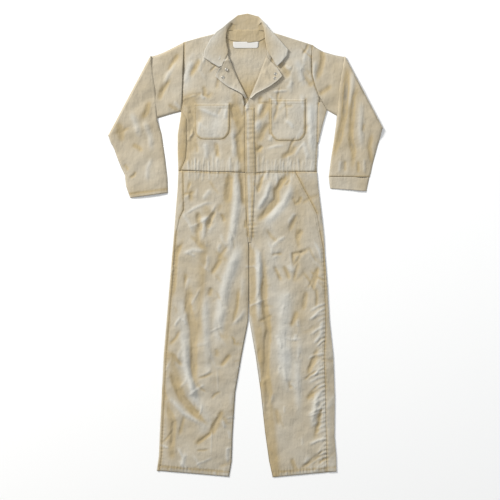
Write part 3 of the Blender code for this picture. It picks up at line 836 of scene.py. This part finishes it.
FRONT = Lay(
    edges=(
        left_edge(TROUSER_BACK_RIGHT), right_edge(TROUSER_BACK_RIGHT)[:8], left_edge(TROUSER_BACK_LEFT)[:8],
        right_edge(TROUSER_BACK_LEFT), left_edge(BODICE_BACK), right_edge(BODICE_BACK),
        ((-296, -754), (-56, -774)), ((92, -776), (304, -757)),
    ),
    creases=BODICE_CREASES + TROUSER_CREASES + pleats() + puckers() + scattered(11, 190, (-280, -750, 290,
        240), 82)
    + scattered(12, 84, (-200, 300, 235, 660), 78),
    seams=(
        Seam(WAIST, 1.5, 3.0, 0.35, 9.0, 8.0),
        Seam(right_edge(BODICE_FRONT_RIGHT)[:5] + ((-0.4, 243), (3, 112), (8, 32)), 1.2, 4.0),
        Seam(right_edge(TROUSER_FRONT_LEFT)[:9], 0.9, 2.6, 0.75, 13.0, 9.0),
        Seam(left_edge(TROUSER_FRONT_RIGHT)[:9], 0.9, 2.4, 0.55, 11.0, 7.0),
        Seam(left_edge(BODICE_FRONT_RIGHT)[:5], 1.3, 4.0),
        Seam(right_edge(BODICE_FRONT_LEFT)[:5], 1.0, 3.0, 0.3, 12.0, 7.0),
        Seam(left_edge(BODICE_FRONT_RIGHT)[4:], 1.2, 3.0, 0.35, 14.0, 8.0),
        Seam(right_edge(BODICE_FRONT_LEFT)[4:], 1.2, 3.0, 0.35, 14.0, 8.0),
        Seam(right_edge(TROUSER_FRONT_LEFT)[9:], 0.8, 2.4, 0.4, 12.0, 6.0),
        Seam(left_edge(TROUSER_FRONT_RIGHT)[9:], 0.9, 2.6, 0.4, 12.0, 6.0),
        Seam(((-290, -738), (-54, -758)), 0.7, 2.2, 0.6, 10.0, 9.0),
        Seam(((88, -760), (304, -741)), 0.7, 2.2, 0.7, 10.0, 9.0),
        Seam(((-173, 475), (-173, 380), (-150, 358), (-72, 358), (-53, 380), (-53, 475)), 0.3, 4.0, 0.25,
            15.0, 7.0),
        Seam(((82, 489), (82, 378), (104, 353), (180, 353), (201, 378), (201, 489)), 0.3, 4.0, 0.25, 15.0,
            7.0),
        Seam(((18, 440), (19, 250), (24, 30)), 0.0, 4.0, 0.7, 15.0, 13.0),
    ),
    shade_and_wear_patches=BROAD_SHADE_AND_WEAR,
)


@dataclass
class FrontPanel:
    """A panel or a laid-on piece that follows the front's lie."""

    node: str
    rows: tuple
    columns: int
    count: int
    lift: float = 0.0
    ply: float = PLY
    soft_edge: float = 0.0
    wider: tuple = (0.0, 0.0)
    lay: Lay = field(default_factory=lambda: FRONT)

    def place(self, u: Array, v: Array) -> Placed:
        """The panel's points on the front's lie, raised by its lift and let down at its edges.

        Args:
            u: how far across each point is, from 0 to 1.
            v: how far along each point is, from 0 to 1.

        Returns:
            The points' places and tone.
        """
        x0, y0, x1, y1 = row_at(self.rows, v)
        across = (self.wider[0] * (u - 1) + self.wider[1] * u) * (1 if x0[0] < x1[0] else -1)
        x, y = x0 + (x1 - x0) * u + across, y0 + (y1 - y0) * u
        z = self.lay.height(x, y) + self.lift
        if self.soft_edge:
            across = np.minimum(u, 1 - u) * np.hypot(x1 - x0, y1 - y0)
            length = math.dist(self.rows[0][:2], self.rows[-1][:2])
            edge = np.minimum(across, np.minimum(v, 1 - v) * length)
            z = z - self.lift * 0.45 * np.exp(-edge / self.soft_edge)
            # painted shade in a band about 4 mm in from the piece's edge; the piece is a little paler
            # overall
            return Placed(x, y, z, self.lay.tone(x, y) + 0.12 - 0.3 * np.exp(-(((edge - 4) / 2.5) ** 2)))
        return Placed(x, y, z, self.lay.tone(x, y))

    def build(self, material: bpy.types.Material, slot: str = "khaki_twill") -> bpy.types.Object:
        """Args:
            material: the piece's finish.
            slot: not used.

        Returns:
            The piece.
        """
        made = declare(
            cloth_object(self.node + "_cloth", self.columns, self.count, self.place, material, self.ply),
                self.node
        )
        return made


@dataclass
class BackPanel:
    """A back panel: flat below, turned over at the silhouette and brought back on top to its side seams."""

    node: str
    rows: tuple
    over_left: tuple
    over_right: tuple
    count: int
    flat_columns: int = 16
    turn_columns: int = 14

    def place(self, u: Array, v: Array) -> Placed:
        """The points from the left seam over the left edge, under, and up to the right seam.

        Args:
            u: how far across each point is, from 0 to 1.
            v: how far along each point is, from 0 to 1.

        Returns:
            The points' places and tone.
        """
        x0, y0, x1, y1 = row_at(self.rows, v)
        n = self.flat_columns + 2 * self.turn_columns
        step = np.rint(u * n)
        left = np.clip((self.turn_columns - step) / self.turn_columns, 0, 1)
        right = np.clip((step - n + self.turn_columns) / self.turn_columns, 0, 1)
        flat = np.clip((step - self.turn_columns) / self.flat_columns, 0, 1)
        y = y0 + (y1 - y0) * flat
        seam_left = np.interp(y, *np.array(sorted((b, a) for a, b in self.over_left)).T)
        seam_right = np.interp(y, *np.array(sorted((b, a) for a, b in self.over_right)).T)
        x, z = x0 + (x1 - x0) * flat, np.full(x0.shape, PLY)
        for part, edge, seam in ((left, x0, seam_left), (right, x1, seam_right)):
            bend = np.clip(part / BEND_SHARE, 0, 1) * math.pi
            past_bend = np.clip((part - BEND_SHARE) / (1 - BEND_SHARE), 0, 1)
            run = smooth(past_bend) * 0.5 + past_bend * 0.5
            inward = np.sign(seam - edge + 1e-9 * np.sign(x1 - x0) * np.where(edge is x0, 1, -1))
            on_top = FRONT.height(edge + (seam - edge) * run, y)
            radius = (FRONT_REST - PLY) / 2
            bent_x = edge + inward * radius * (1 - np.sin(bend))
            bent_z = PLY + radius * (1 - np.cos(bend))
            wide = np.abs(seam - edge) > 1.5
            top_x = edge + inward * radius + (seam - edge - inward * radius) * run
            now = part > 0
            turned = now & (part <= BEND_SHARE)
            x = np.where(turned & wide, bent_x, np.where(now & wide, top_x, x))
            z = np.where(turned & wide, bent_z, np.where(now & wide, on_top, np.where(now, PLY + part, z)))
        # painted shade: the back's cloth is a darker copy of the front's tone
        return Placed(x, y, z, FRONT.tone(x, y) * 0.8 + 0.05)

    def build(self, material: bpy.types.Material) -> bpy.types.Object:
        """Args:
            material: the piece's finish.

        Returns:
            The piece.
        """
        n = self.flat_columns + 2 * self.turn_columns
        made = declare(cloth_object(self.node + "_cloth", n, self.count, self.place, material), self.node)
        return made


@dataclass
class BackBodice:
    """The back of the bodice: its inside shows in the neck, and its sides come over to the front."""

    count: int = 110
    columns: int = 120

    def place(self, u: Array, v: Array) -> Placed:
        """The points of the back, with the shoulders and the neckline shaped out of the last rows.

        Args:
            u: how far across each point is, from 0 to 1.
            v: how far along each point is, from 0 to 1.

        Returns:
            The points' places and tone.
        """
        x0, y0, x1, y1 = row_at(BODICE_BACK, v)
        turn = 0.11
        flat = np.clip((u - turn) / (1 - 2 * turn), 0, 1)
        x, y = x0 + (x1 - x0) * flat, y0 + (y1 - y0) * flat
        top = BODICE_BACK[-1]
        line = top.y0 + (top.y1 - top.y0) * (x - top.x0) / (top.x1 - top.x0)
        neck = np.interp(x, *np.array(SHOULDER_AND_NECK).T)
        y = y + (neck - line) * smooth((y - 560) / (line - 560))
        in_neck = np.exp(-(((x - 5) / 50) ** 2) - ((y - 640) / 55) ** 2)
        wrinkles = 0.5 * np.sin(y / 7.5 + 1.4 * np.sin(x / 40)) * in_neck
        z = 1.1 + wrinkles
        radius = (FRONT_REST - 0.9) / 2
        for side, edge, seam_rows in ((u < turn, x0, left_edge(BODICE_FRONT_RIGHT)), (u > 1 - turn, x1,
            right_edge(BODICE_FRONT_LEFT))):
            part = np.where(u < 0.5, (turn - u) / turn, (u - 1 + turn) / turn)
            seam = np.interp(y, *np.array([(b, a) for a, b in seam_rows]).T)
            bend = np.clip(part / 0.3, 0, 1) * math.pi
            run = np.clip((part - 0.3) / 0.7, 0, 1)
            inward = np.where(u < 0.5, 1.0, -1.0)
            wide = (np.abs(seam - edge) > 3) & (y < 480)
            top_x = edge + inward * radius + (seam - edge - inward * radius) * run
            new_x = np.where(part <= 0.3, edge + inward * radius * (1 - np.sin(bend)), top_x)
            new_z = np.where(part <= 0.3, 0.9 + radius * (1 - np.cos(bend)), FRONT.height(top_x, y))
            x = np.where(side & wide, new_x, x)
            z = np.where(side, np.where(wide, new_z, 1.1 + part * 0.5), z)
        # painted shade: inside the neck the back is dark in soft bands, and its sides are a darker copy of
        # the front's tone
        shade = 0.35 + 0.2 * np.sin(y / 30)
        return Placed(x, y, z, np.where(np.abs(x) < 90, shade, FRONT.tone(x, y) * 0.75))

    def build(self, material: bpy.types.Material) -> bpy.types.Object:
        """Args:
            material: the piece's finish.

        Returns:
            The piece.
        """
        made = declare(cloth_object("back_bodice_cloth", self.columns, self.count, self.place, material),
            "back_bodice")
        return made


@dataclass
class Sleeve:
    """A sleeve: a flat tube turned over itself at the elbow, its under side up from there to the hem."""

    node: str
    upper: tuple
    lower: tuple
    armhole: tuple
    creases: tuple
    side: Side
    band: tuple = ()
    ring: int = 72
    up_rows: int = 76
    turn_rows: int = 10
    over_rows: int = 96
    depth: float = 2.3
    turn: float = 1.6

    def place(self, u: Array, v: Array) -> Placed:
        """The tube's points: the under ply then the upper ply round each ring, ring after ring.

        Args:
            u: how far across each point is, from 0 to 1.
            v: how far along each point is, from 0 to 1.

        Returns:
            The points' places and tone.
        """
        total = self.up_rows + self.turn_rows + self.over_rows
        step = np.rint(v * total)
        fold = self.upper[-1]
        up = np.clip(step / self.up_rows, 0, 1)
        over = np.clip((step - self.up_rows - self.turn_rows) / self.over_rows, 0, 1)
        angle = np.clip((step - self.up_rows) / self.turn_rows, 0, 1) * math.pi
        a = [np.where(over > 0, q, p) for p, q in zip(row_at(self.upper, up), row_at((fold,) + self.lower,
            over))]
        across = np.where(u <= 0.5, 2 * u, 2 - 2 * u)
        top = np.where(u <= 0.5, 0.0, 1.0)
        round_off = np.clip(np.minimum(across, 1 - across) * 40, 0, 1)
        x, y = a[0] + (a[2] - a[0]) * across, a[1] + (a[3] - a[1]) * across
        length = np.hypot(fold.x1 - fold.x0, fold.y1 - fold.y0)
        away = np.array((fold.y1 - fold.y0, fold.x0 - fold.x1)) / length
        away = away if away[0] * fold.x0 > 0 else -away
        chord = self.upper[0].x0 + (self.upper[0].x1 - self.upper[0].x0) * (
            (y - self.upper[0].y0) / (self.upper[0].y1 - self.upper[0].y0))
        near = 1 - smooth(up * 3.0)
        x = x + (np.interp(y, *np.array(self.armhole).T) - chord) * near * (over == 0) * (angle == 0)
        edges = (left_edge((fold,) + self.lower), right_edge((fold,) + self.lower))
        lower_lay = Lay(edges, self.creases, self.cuff_seams(), self.depth, 2.6, seed=21)
        upper_lay = Lay((left_edge(self.upper), right_edge(self.upper)), self.creases, (), self.depth,
            2.8, seed=22)
        covered = smooth(nearest(right_edge((fold,) + self.lower), x, y)[0] / 14) * (
            nearest(right_edge((fold,) + self.lower), x, y)[1] * (-1 if self.side is Side.LEFT else 1) < 0)
        near_fold = nearest(((fold.x0, fold.y0), (fold.x1, fold.y1)), x, y)[0]
        free = (1 - covered) * smooth(near_fold / 14)
        up_top = self.depth + (upper_lay.height(x, y) - self.depth) * free
        z_up = np.where(top > 0, 0.4 + (up_top - 0.4) * round_off,
            0.4 + 0 * x) + (1 - round_off) * 0.5 * (1 - top)
        radius = self.turn + self.depth - np.where(top > 0, self.depth, 0.4)
        z_turn = self.depth + self.turn - radius * np.cos(angle)
        run = np.array((self.upper[-1].x0 - self.upper[0].x0, self.upper[-1].y0 - self.upper[0].y0), float)
        run /= np.hypot(*run)
        out = np.array((run[1], -run[0]))
        out = out if out[1] < 0 else -out
        past = (x - self.upper[0].x0) * out[0] + (y - self.upper[0].y0) * out[1]
        on_arm = (self.depth + 0.7) * (1 - smooth((past - 4) / 34))
        rest = on_arm + (2 * self.turn - 0.7) * (1 - smooth(near_fold / 60))
        over_top = lower_lay.height(x, y) + rest
        z_over = np.where(top > 0, rest + 0.4, rest + 0.4 + (over_top - rest - 0.4) * round_off)
        x = x + away[0] * radius * np.sin(angle) * (over == 0)
        y = y + away[1] * radius * np.sin(angle) * (over == 0)
        z = np.where(over > 0, z_over, np.where(angle > 0, z_turn, z_up))
        # painted shade: the whole sleeve is a darker copy of the front's tone
        return Placed(x, y, z, lower_lay.tone(x, y) * 0.85)

    def cuff_seams(self) -> tuple:
        """The stitched line above the sleeve's end."""
        end = self.lower[-1]
        if self.band:
            return (Seam(((end.x0, end.y0), (end.x1, end.y1)), 0.8, 2.5, 0.6, 9.0, 9.0),)
        return (Seam(((end.x0, end.y0 + 13), (end.x1, end.y1 + 13)), 0.8, 2.2, 0.5, 9.0, 8.0),)

    def band_place(self, u: Array, v: Array) -> Placed:
        """The cuff band's points, flat like the sleeve.

        Args:
            u: how far across each point is, from 0 to 1.
            v: how far along each point is, from 0 to 1.

        Returns:
            The points' places and tone.
        """
        x0, y0, x1, y1 = row_at(self.band, v)
        across = np.where(u <= 0.5, 2 * u, 2 - 2 * u)
        x, y = x0 + (x1 - x0) * across, y0 + (y1 - y0) * across
        round_off = np.clip(np.minimum(across, 1 - across) * 30, 0, 1)
        lay = Lay((left_edge(self.band), right_edge(self.band)), self.creases, self.cuff_seams(), 2.5,
            1.5, seed=31)
        z = np.where(u > 0.5, 0.4, 0.4 + (lay.height(x, y) - 0.4) * round_off)
        return Placed(x, y, z, 0.45 + 0 * x)

    def build(self, material: bpy.types.Material) -> None:
        """Args:
            material: the piece's finish.
        """
        total = self.up_rows + self.turn_rows + self.over_rows
        made = declare(
            cloth_object(self.node + "_cloth", self.ring, total, self.place, material, PLY * 0.75,
                closed=True), self.node
        )
        if self.band:
            band = declare(
                cloth_object("cuff_left_cloth", self.ring, 16, self.band_place, material, PLY * 0.75,
                    closed=True),
                "cuff_left",
            )


@dataclass
class Collar:
    """The collar: its stand and its fall, flat behind the neck and turned down at each side."""

    columns: int = 30
    count: int = 240
    gap: float = 0.5

    def place_fall(self, u: Array, v: Array) -> Placed:
        """The fall's points, from its root up to the roll and out to its edge.

        Args:
            u: how far across each point is, from 0 to 1.
            v: how far along each point is, from 0 to 1.

        Returns:
            The points' places and tone.
        """
        table = np.array(COLLAR_FALL, float)
        knots = np.concatenate([[0], np.cumsum(np.hypot(*(table[1:, 4:6] - table[:-1, 4:6]).T) + 4.0)])
        rx, ry, qx, qy, ex, ey, low, high = (np.interp(v * knots[-1], knots, table[:, i]) for i in range(8))
        flat = 1 - smooth((high - low) / 3.0)
        out_x, out_y = qx - ex, qy - ey
        size = np.hypot(out_x, out_y) + 1e-6
        out_x, out_y = out_x / size, out_y / size
        first, last = 0.3, 0.48
        root = np.clip(u / first, 0, 1)
        bend = np.clip((u - first) / (last - first), 0, 1) * math.pi
        leaf = np.clip((u - last) / (1 - last), 0, 1)
        radius = (high - low) / 2
        folded_x = np.where(u <= first, rx + (qx - rx) * root, np.where(leaf > 0, qx + (ex - qx) * leaf,
            qx))
        folded_y = np.where(u <= first, ry + (qy - ry) * root, np.where(leaf > 0, qy + (ey - qy) * leaf,
            qy))
        turning = (u > first) & (leaf <= 0)
        folded_x = folded_x + np.where(turning, out_x * radius * np.sin(bend), 0)
        folded_y = folded_y + np.where(turning, out_y * radius * np.sin(bend), 0)
        z = np.where(u <= first, low, np.where(leaf > 0, high, (low + high) / 2 - radius * np.cos(bend)))
        open_x, open_y = rx + (ex - rx) * u, ry + (ey - ry) * u
        x, y = folded_x + (open_x - folded_x) * flat, folded_y + (open_y - folded_y) * flat
        crown = (1.6 * np.sin(math.pi * leaf) + 3.4 * leaf**3) * (1 - flat)
        stitch = -0.35 * np.exp(-(((1 - leaf) * size - 6) / 1.6) ** 2) * (size > 14) * (1 - flat)
        soft = 0.35 * np.sin(x / 17 + y / 23) * leaf + 0.3 * np.sin(y / 9) * flat
        # painted shade on the part under the roll; the leaf grows paler towards its outer edge
        return Placed(x, y, z + crown + stitch + soft, np.where(u < 0.42, 0.12,
            0.34 + 0.46 * leaf) * (1 - flat) + 0.3 * flat)

    def place_stand(self, u: Array, v: Array) -> Placed:
        """The stand's points, behind the neck.

        Args:
            u: how far across each point is, from 0 to 1.
            v: how far along each point is, from 0 to 1.

        Returns:
            The points' places and tone.
        """
        x0, y0, x1, y1 = row_at(COLLAR_STAND, v)
        low_y, high_y = np.minimum(y0, y1), np.maximum(y0, y1)
        up = np.where(y1 >= y0, u, 1 - u)
        y = low_y - 7.0 + (high_y - low_y + 11.0) * up
        x = (x0 + (x1 - x0) * u) * 1.09
        # painted shade: the stand inside the neck is dark
        return Placed(x, y, 2.1 + 0.25 * np.sin(x / 13), 0.22 + 0 * x)

    def build(self, material: bpy.types.Material) -> None:
        """Args:
            material: the piece's finish.
        """
        fall = cloth_object("collar_fall_cloth", self.columns, self.count, self.place_fall, material, 1.2)
        fall.modifiers["wall"].offset = 0.0
        declare(fall, "collar_fall")
        stand = declare(cloth_object("collar_stand_cloth", 12, 60, self.place_stand, material, 1.0),
            "collar_stand")


@dataclass
class Lapels:
    """The fronts' facings, rolled over along the V and laid down."""

    columns: int = 44
    count: int = 56

    def place(self, rows: tuple, side: Side, u: Array, v: Array) -> Placed:
        """A lapel's points: rolled at the crease, lying on the front, its edge a little lifted.

        Args:
            rows: the panel's rows.
            side: the wearer's side.
            u: how far across each point is, from 0 to 1.
            v: how far along each point is, from 0 to 1.

        Returns:
            The points' places and tone.
        """
        x0, y0, x1, y1 = row_at(rows, v)
        x, y = x0 + (x1 - x0) * u, y0 + (y1 - y0) * u
        crease = (1 - u if side is Side.RIGHT else u) * np.hypot(x1 - x0, y1 - y0)
        roll = smooth(crease / 5.0)
        z = FRONT.height(x, y) + 0.9 + 1.3 * roll + 4.2 * (crease / np.hypot(x1 - x0, y1 - y0)) ** 2
        edge = np.hypot(x1 - x0, y1 - y0) - crease
        z = z - 0.3 * np.exp(-(((edge - 6) / 1.5) ** 2)) + 0.25 * np.sin(x / 11 + y / 15)
        return Placed(x, y, z, 0.45 + 0.3 * np.exp(-edge / 8))

    def build(self, material: bpy.types.Material) -> None:
        """Makes, dresses and declares both lapels.

        Args:
            material: the piece's finish.
        """
        for side, rows in ((Side.LEFT, LAPEL_LEFT), (Side.RIGHT, LAPEL_RIGHT)):
            name = f"lapel_{side.value}"
            made = declare(
                cloth_object(
                    name + "_cloth", self.columns, self.count,
                    lambda u, v, rows=rows, side=side: self.place(rows, side, u, v), material, 1.3,
                ),
                name,
            )


@dataclass
class Snap:
    """A pressed snap cap: a rim, a groove and a shallow dome."""

    node: str
    centre: tuple
    profile: tuple = ((0.0, 1.5), (2.4, 1.45), (3.6, 1.15), (4.1, 0.95), (4.6, 1.15), (5.3, 1.0), (5.5,
        0.5), (5.4, 0.0))
    steps: int = 32
    lift: float = 4.6

    def build(self, material: bpy.types.Material) -> None:
        """Spins the cap's profile round its axis and sets it on the lapel.

        Args:
            material: the piece's finish.
        """
        bm = bmesh.new()
        points = [bm.verts.new((r * MM, 0, z * MM)) for r, z in self.profile]
        edges = [bm.edges.new(pair) for pair in zip(points, points[1:])]
        bmesh.ops.spin(
            bm, geom=points + edges, cent=(0, 0, 0), axis=(0, 0, 1), angle=2 * math.pi, steps=self.steps,
            use_merge=True, dvec=(0, 0, 0),
        )
        bmesh.ops.remove_doubles(bm, verts=bm.verts, dist=1e-6)
        bmesh.ops.holes_fill(bm, edges=[e for e in bm.edges if e.is_boundary], sides=0)
        bmesh.ops.recalc_face_normals(bm, faces=bm.faces)
        x, y = np.array([self.centre[0]], float), np.array([self.centre[1]], float)
        floor = float(FRONT.height(x, y)[0]) + self.lift
        bmesh.ops.translate(bm, verts=bm.verts, vec=Vector((*self.centre, floor)) * MM)
        mesh = bpy.data.meshes.new(self.node + "_cap")
        bm.to_mesh(mesh)
        bm.free()
        mesh.materials.append(material)
        made = bpy.data.objects.new(self.node + "_cap", mesh)
        bpy.context.scene.collection.objects.link(made)
        declare(made, self.node)


@dataclass
class Topstitch:
    """Rows of thread stitches that lie on whatever cloth is on top."""

    cloths: list
    pitch: float = 3.4
    long: float = 2.5
    thick: float = 0.55

    def build(self, name: str, paths: tuple, material: bpy.types.Material) -> None:
        """Sews one row of stitches along each path.

        Args:
            name: the piece's name.
            paths: the rows' lines, in mm.
            material: the thread's finish.
        """
        corners, faces = [], []
        for cloth in self.cloths:
            start = len(corners)
            corners += [vert.co for vert in cloth.data.vertices]
            faces += [[start + i for i in face.vertices] for face in cloth.data.polygons]
        top = BVHTree.FromPolygons(corners, faces)
        bm = bmesh.new()
        for path in paths:
            for (x0, y0), (x1, y1) in zip(path, path[1:]):
                count = max(int(math.dist((x0, y0), (x1, y1)) / self.pitch), 1)
                for i in range(count):
                    t = (i + 0.5) / count
                    hit = top.ray_cast(Vector((x0 + (x1 - x0) * t, y0 + (y1 - y0) * t, 60)) * MM,
                        Vector((0, 0, -1)))
                    if hit[0] is None or hit[1].z < 0.4:
                        continue
                    along = Vector((x1 - x0, y1 - y0, 0)).normalized()
                    along = (along - hit[1] * along.dot(hit[1])).normalized()
                    turn = Matrix((along, hit[1].cross(along), hit[1])).transposed().to_4x4()
                    size = Matrix.Diagonal((self.long * MM, self.thick * MM, self.thick * MM, 1))
                    lift = Matrix.Translation(hit[0] + hit[1] * 0.1 * MM)
                    bmesh.ops.create_cube(bm, size=1.0, matrix=lift @ turn @ size)
        mesh = bpy.data.meshes.new(name)
        bm.to_mesh(mesh)
        bm.free()
        mesh.materials.append(material)
        made = bpy.data.objects.new(name, mesh)
        bpy.context.scene.collection.objects.link(made)
        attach(made, "root")
        LOG.info("%s: %d points", name, len(mesh.vertices))


def beside(path: tuple, inward: float) -> tuple:
    """A line moved sideways.

    Args:
        path: the line's points.
        inward: how far it moves, to its left where positive.

    Returns:
        The moved points.
    """
    points = np.array(path, float)
    run = np.gradient(points, axis=0)
    run /= np.hypot(run[:, 0], run[:, 1])[:, None]
    moved = points + np.stack([-run[:, 1], run[:, 0]], axis=1) * inward
    return tuple(map(tuple, moved))


def hem_line(rows: tuple, up: float) -> tuple:
    """A line across a panel, a set height above its first row.

    Args:
        rows: the panel's rows.
        up: how far above the first row, in mm.

    Returns:
        The line's two ends.
    """
    low, high = rows[0], rows[1]
    t0, t1 = up / math.dist(low[:2], high[:2]), up / math.dist(low[2:], high[2:])
    return (
        (low.x0 + (high.x0 - low.x0) * t0 + 2, low.y0 + (high.y0 - low.y0) * t0),
        (low.x1 + (high.x1 - low.x1) * t1 - 2, low.y1 + (high.y1 - low.y1) * t1),
    )


@dataclass
class Studio:
    """The pale floor, the soft light and the camera straight above."""

    height: float = 3.35
    lens: float = 72.0
    floor_side: float = 9.0
    aim: tuple = (0.015, -0.015)

    def build(self) -> None:
        """Sets the floor, the lights and the camera."""
        floor_mesh = bpy.data.meshes.new("floor")
        bm = bmesh.new()
        bmesh.ops.create_grid(bm, x_segments=1, y_segments=1, size=self.floor_side / 2)
        bm.to_mesh(floor_mesh)
        bm.free()
        floor_mesh.materials.append(PlainFinish("pale_floor", (0.95, 0.95, 0.95), 0.9, grain=300.0,
            spread=0.01).build())
        floor = bpy.data.objects.new("floor", floor_mesh)
        bpy.context.scene.collection.objects.link(floor)
        world = bpy.data.worlds.new("studio")
        world.use_nodes = True
        world.node_tree.nodes["Background"].inputs["Color"].default_value = (0.97, 0.985, 1.0, 1)
        world.node_tree.nodes["Background"].inputs["Strength"].default_value = 0.45
        bpy.context.scene.world = world
        self.light("key", (-4.6, 4.3, 3.0), 1.4, 620.0, (1.0, 0.985, 0.95))
        self.light("fill", (2.4, 0.6, 2.8), 2.0, 26.0, (0.94, 0.97, 1.0))
        camera = bpy.data.objects.new("camera", bpy.data.cameras.new("camera"))
        camera.data.lens = self.lens
        camera.data.sensor_width = 36.0
        camera.location = (*self.aim, self.height)
        bpy.context.scene.collection.objects.link(camera)
        bpy.context.scene.camera = camera
        bpy.context.scene.view_settings.view_transform = "Standard"

    def light(self, name: str, place: tuple, size: float, power: float, colour: tuple) -> None:
        """A square soft light, aimed at the suit.

        Args:
            name: the light's name.
            place: where it stands, in metres.
            size: its side, in metres.
            power: its power, in watts.
            colour: its colour.
        """
        data = bpy.data.lights.new(name, "AREA")
        data.size = size
        data.energy = power
        data.color = colour
        made = bpy.data.objects.new(name, data)
        made.location = place
        made.rotation_euler = (-Vector(place)).to_track_quat("-Z", "Y").to_euler()
        bpy.context.scene.collection.objects.link(made)


def sew() -> None:
    """Sews the topstitching, once every cloth piece is in place."""
    thread = PlainFinish("thread", (0.40, 0.35, 0.25), 0.75).build()
    sewn = [made for made in bpy.data.objects if made.name.endswith("_cloth")]
    stitch = Topstitch(sewn)
    stitch.build(
        "stitching_legs",
        (
            hem_line(TROUSER_FRONT_RIGHT, 13), hem_line(TROUSER_FRONT_LEFT, 13),
            beside(right_edge(TROUSER_FRONT_LEFT), 2.0), beside(right_edge(TROUSER_FRONT_LEFT), 8.5),
            beside(left_edge(TROUSER_FRONT_RIGHT), -2.0),
            beside(right_edge(TROUSER_FRONT_RIGHT)[:9], 2.5),
        ),
        thread,
    )
    pockets = tuple(
        beside(left_edge(rows)[::-1] + right_edge(rows), 3.5) for rows in (POCKET_RIGHT, POCKET_LEFT)
    )
    stitch.build(
        "stitching_front",
        pockets
        + tuple(beside((left_edge(rows)[-1], right_edge(rows)[-1]), -14) for rows in (POCKET_RIGHT,
            POCKET_LEFT))
        + (
            beside(right_edge(FLY_PLACKET), 3), beside(left_edge(FLY_PLACKET), -3),
            beside(WAIST, 4.0), beside(WAIST, -3.0), beside(left_edge(BODICE_FRONT_RIGHT), -2.5),
            beside(right_edge(BODICE_FRONT_LEFT), 2.5), beside(right_edge(SLEEVE_LEFT_LOWER)[-4:], 3),
        ),
        thread,
    )


def main() -> None:
    """Builds and dresses the suit, piece by piece."""
    logging.basicConfig(level=logging.INFO, format="%(message)s")
    Studio().build()
    twill = TwillFinish().build()
    label = PlainFinish("label_cloth", (0.70, 0.68, 0.65), 0.8).build()
    metal = PlainFinish("snap_metal", (0.50, 0.47, 0.41), 0.4, 0.7).build()
    BackBodice().build(twill)
    BackPanel("trouser_back_right", TROUSER_BACK_RIGHT, left_edge(TROUSER_FRONT_RIGHT),
        right_edge(TROUSER_BACK_RIGHT), 260).build(twill)
    BackPanel("trouser_back_left", TROUSER_BACK_LEFT, left_edge(TROUSER_BACK_LEFT),
        right_edge(TROUSER_FRONT_LEFT), 260).build(twill)
    FrontPanel("trouser_front_right", TROUSER_FRONT_RIGHT, 92, 340, wider=(0.8, 0.0)).build(twill)
    FrontPanel("trouser_front_left", TROUSER_FRONT_LEFT, 92, 340, wider=(0.0, 0.8)).build(twill)
    FrontPanel("front_bodice_right", BODICE_FRONT_RIGHT, 96, 190, wider=(2.2, 0.0)).build(twill)
    FrontPanel("front_bodice_left", BODICE_FRONT_LEFT, 100, 190, wider=(0.0, 2.2)).build(twill)
    FrontPanel("hip_facing_right", HIP_FACING_RIGHT, 6, 50).build(twill)
    FrontPanel("hip_facing_left", HIP_FACING_LEFT, 20, 44).build(twill)
    FrontPanel("fly_placket", FLY_PLACKET, 16, 180, lift=1.3, ply=1.1, soft_edge=2.0).build(twill)
    FrontPanel("chest_pocket_right", POCKET_RIGHT, 44, 44, lift=1.3, ply=1.0, soft_edge=2.0).build(twill)
    FrontPanel("chest_pocket_left", POCKET_LEFT, 44, 50, lift=1.3, ply=1.0, soft_edge=2.0).build(twill)
    Lapels().build(twill)
    Collar().build(twill)
    Sleeve("sleeve_right", SLEEVE_RIGHT_UPPER, SLEEVE_RIGHT_LOWER, ARMHOLE_RIGHT, SLEEVE_RIGHT_CREASES,
        Side.RIGHT).build(twill)
    Sleeve(
        "sleeve_left", SLEEVE_LEFT_UPPER, SLEEVE_LEFT_LOWER, ARMHOLE_LEFT, SLEEVE_LEFT_CREASES, Side.LEFT,
            CUFF_LEFT
    ).build(twill)
    neck = Lay((), (), (), 2.2, 0.0, 0)
    FrontPanel("neck_label", NECK_LABEL, 24, 10, ply=0.4, lay=neck).build(label, "label_cloth")
    for node, centre in SNAPS.items():
        Snap(node, centre).build(metal)
    sew()


if __name__ == "__main__":
    main()
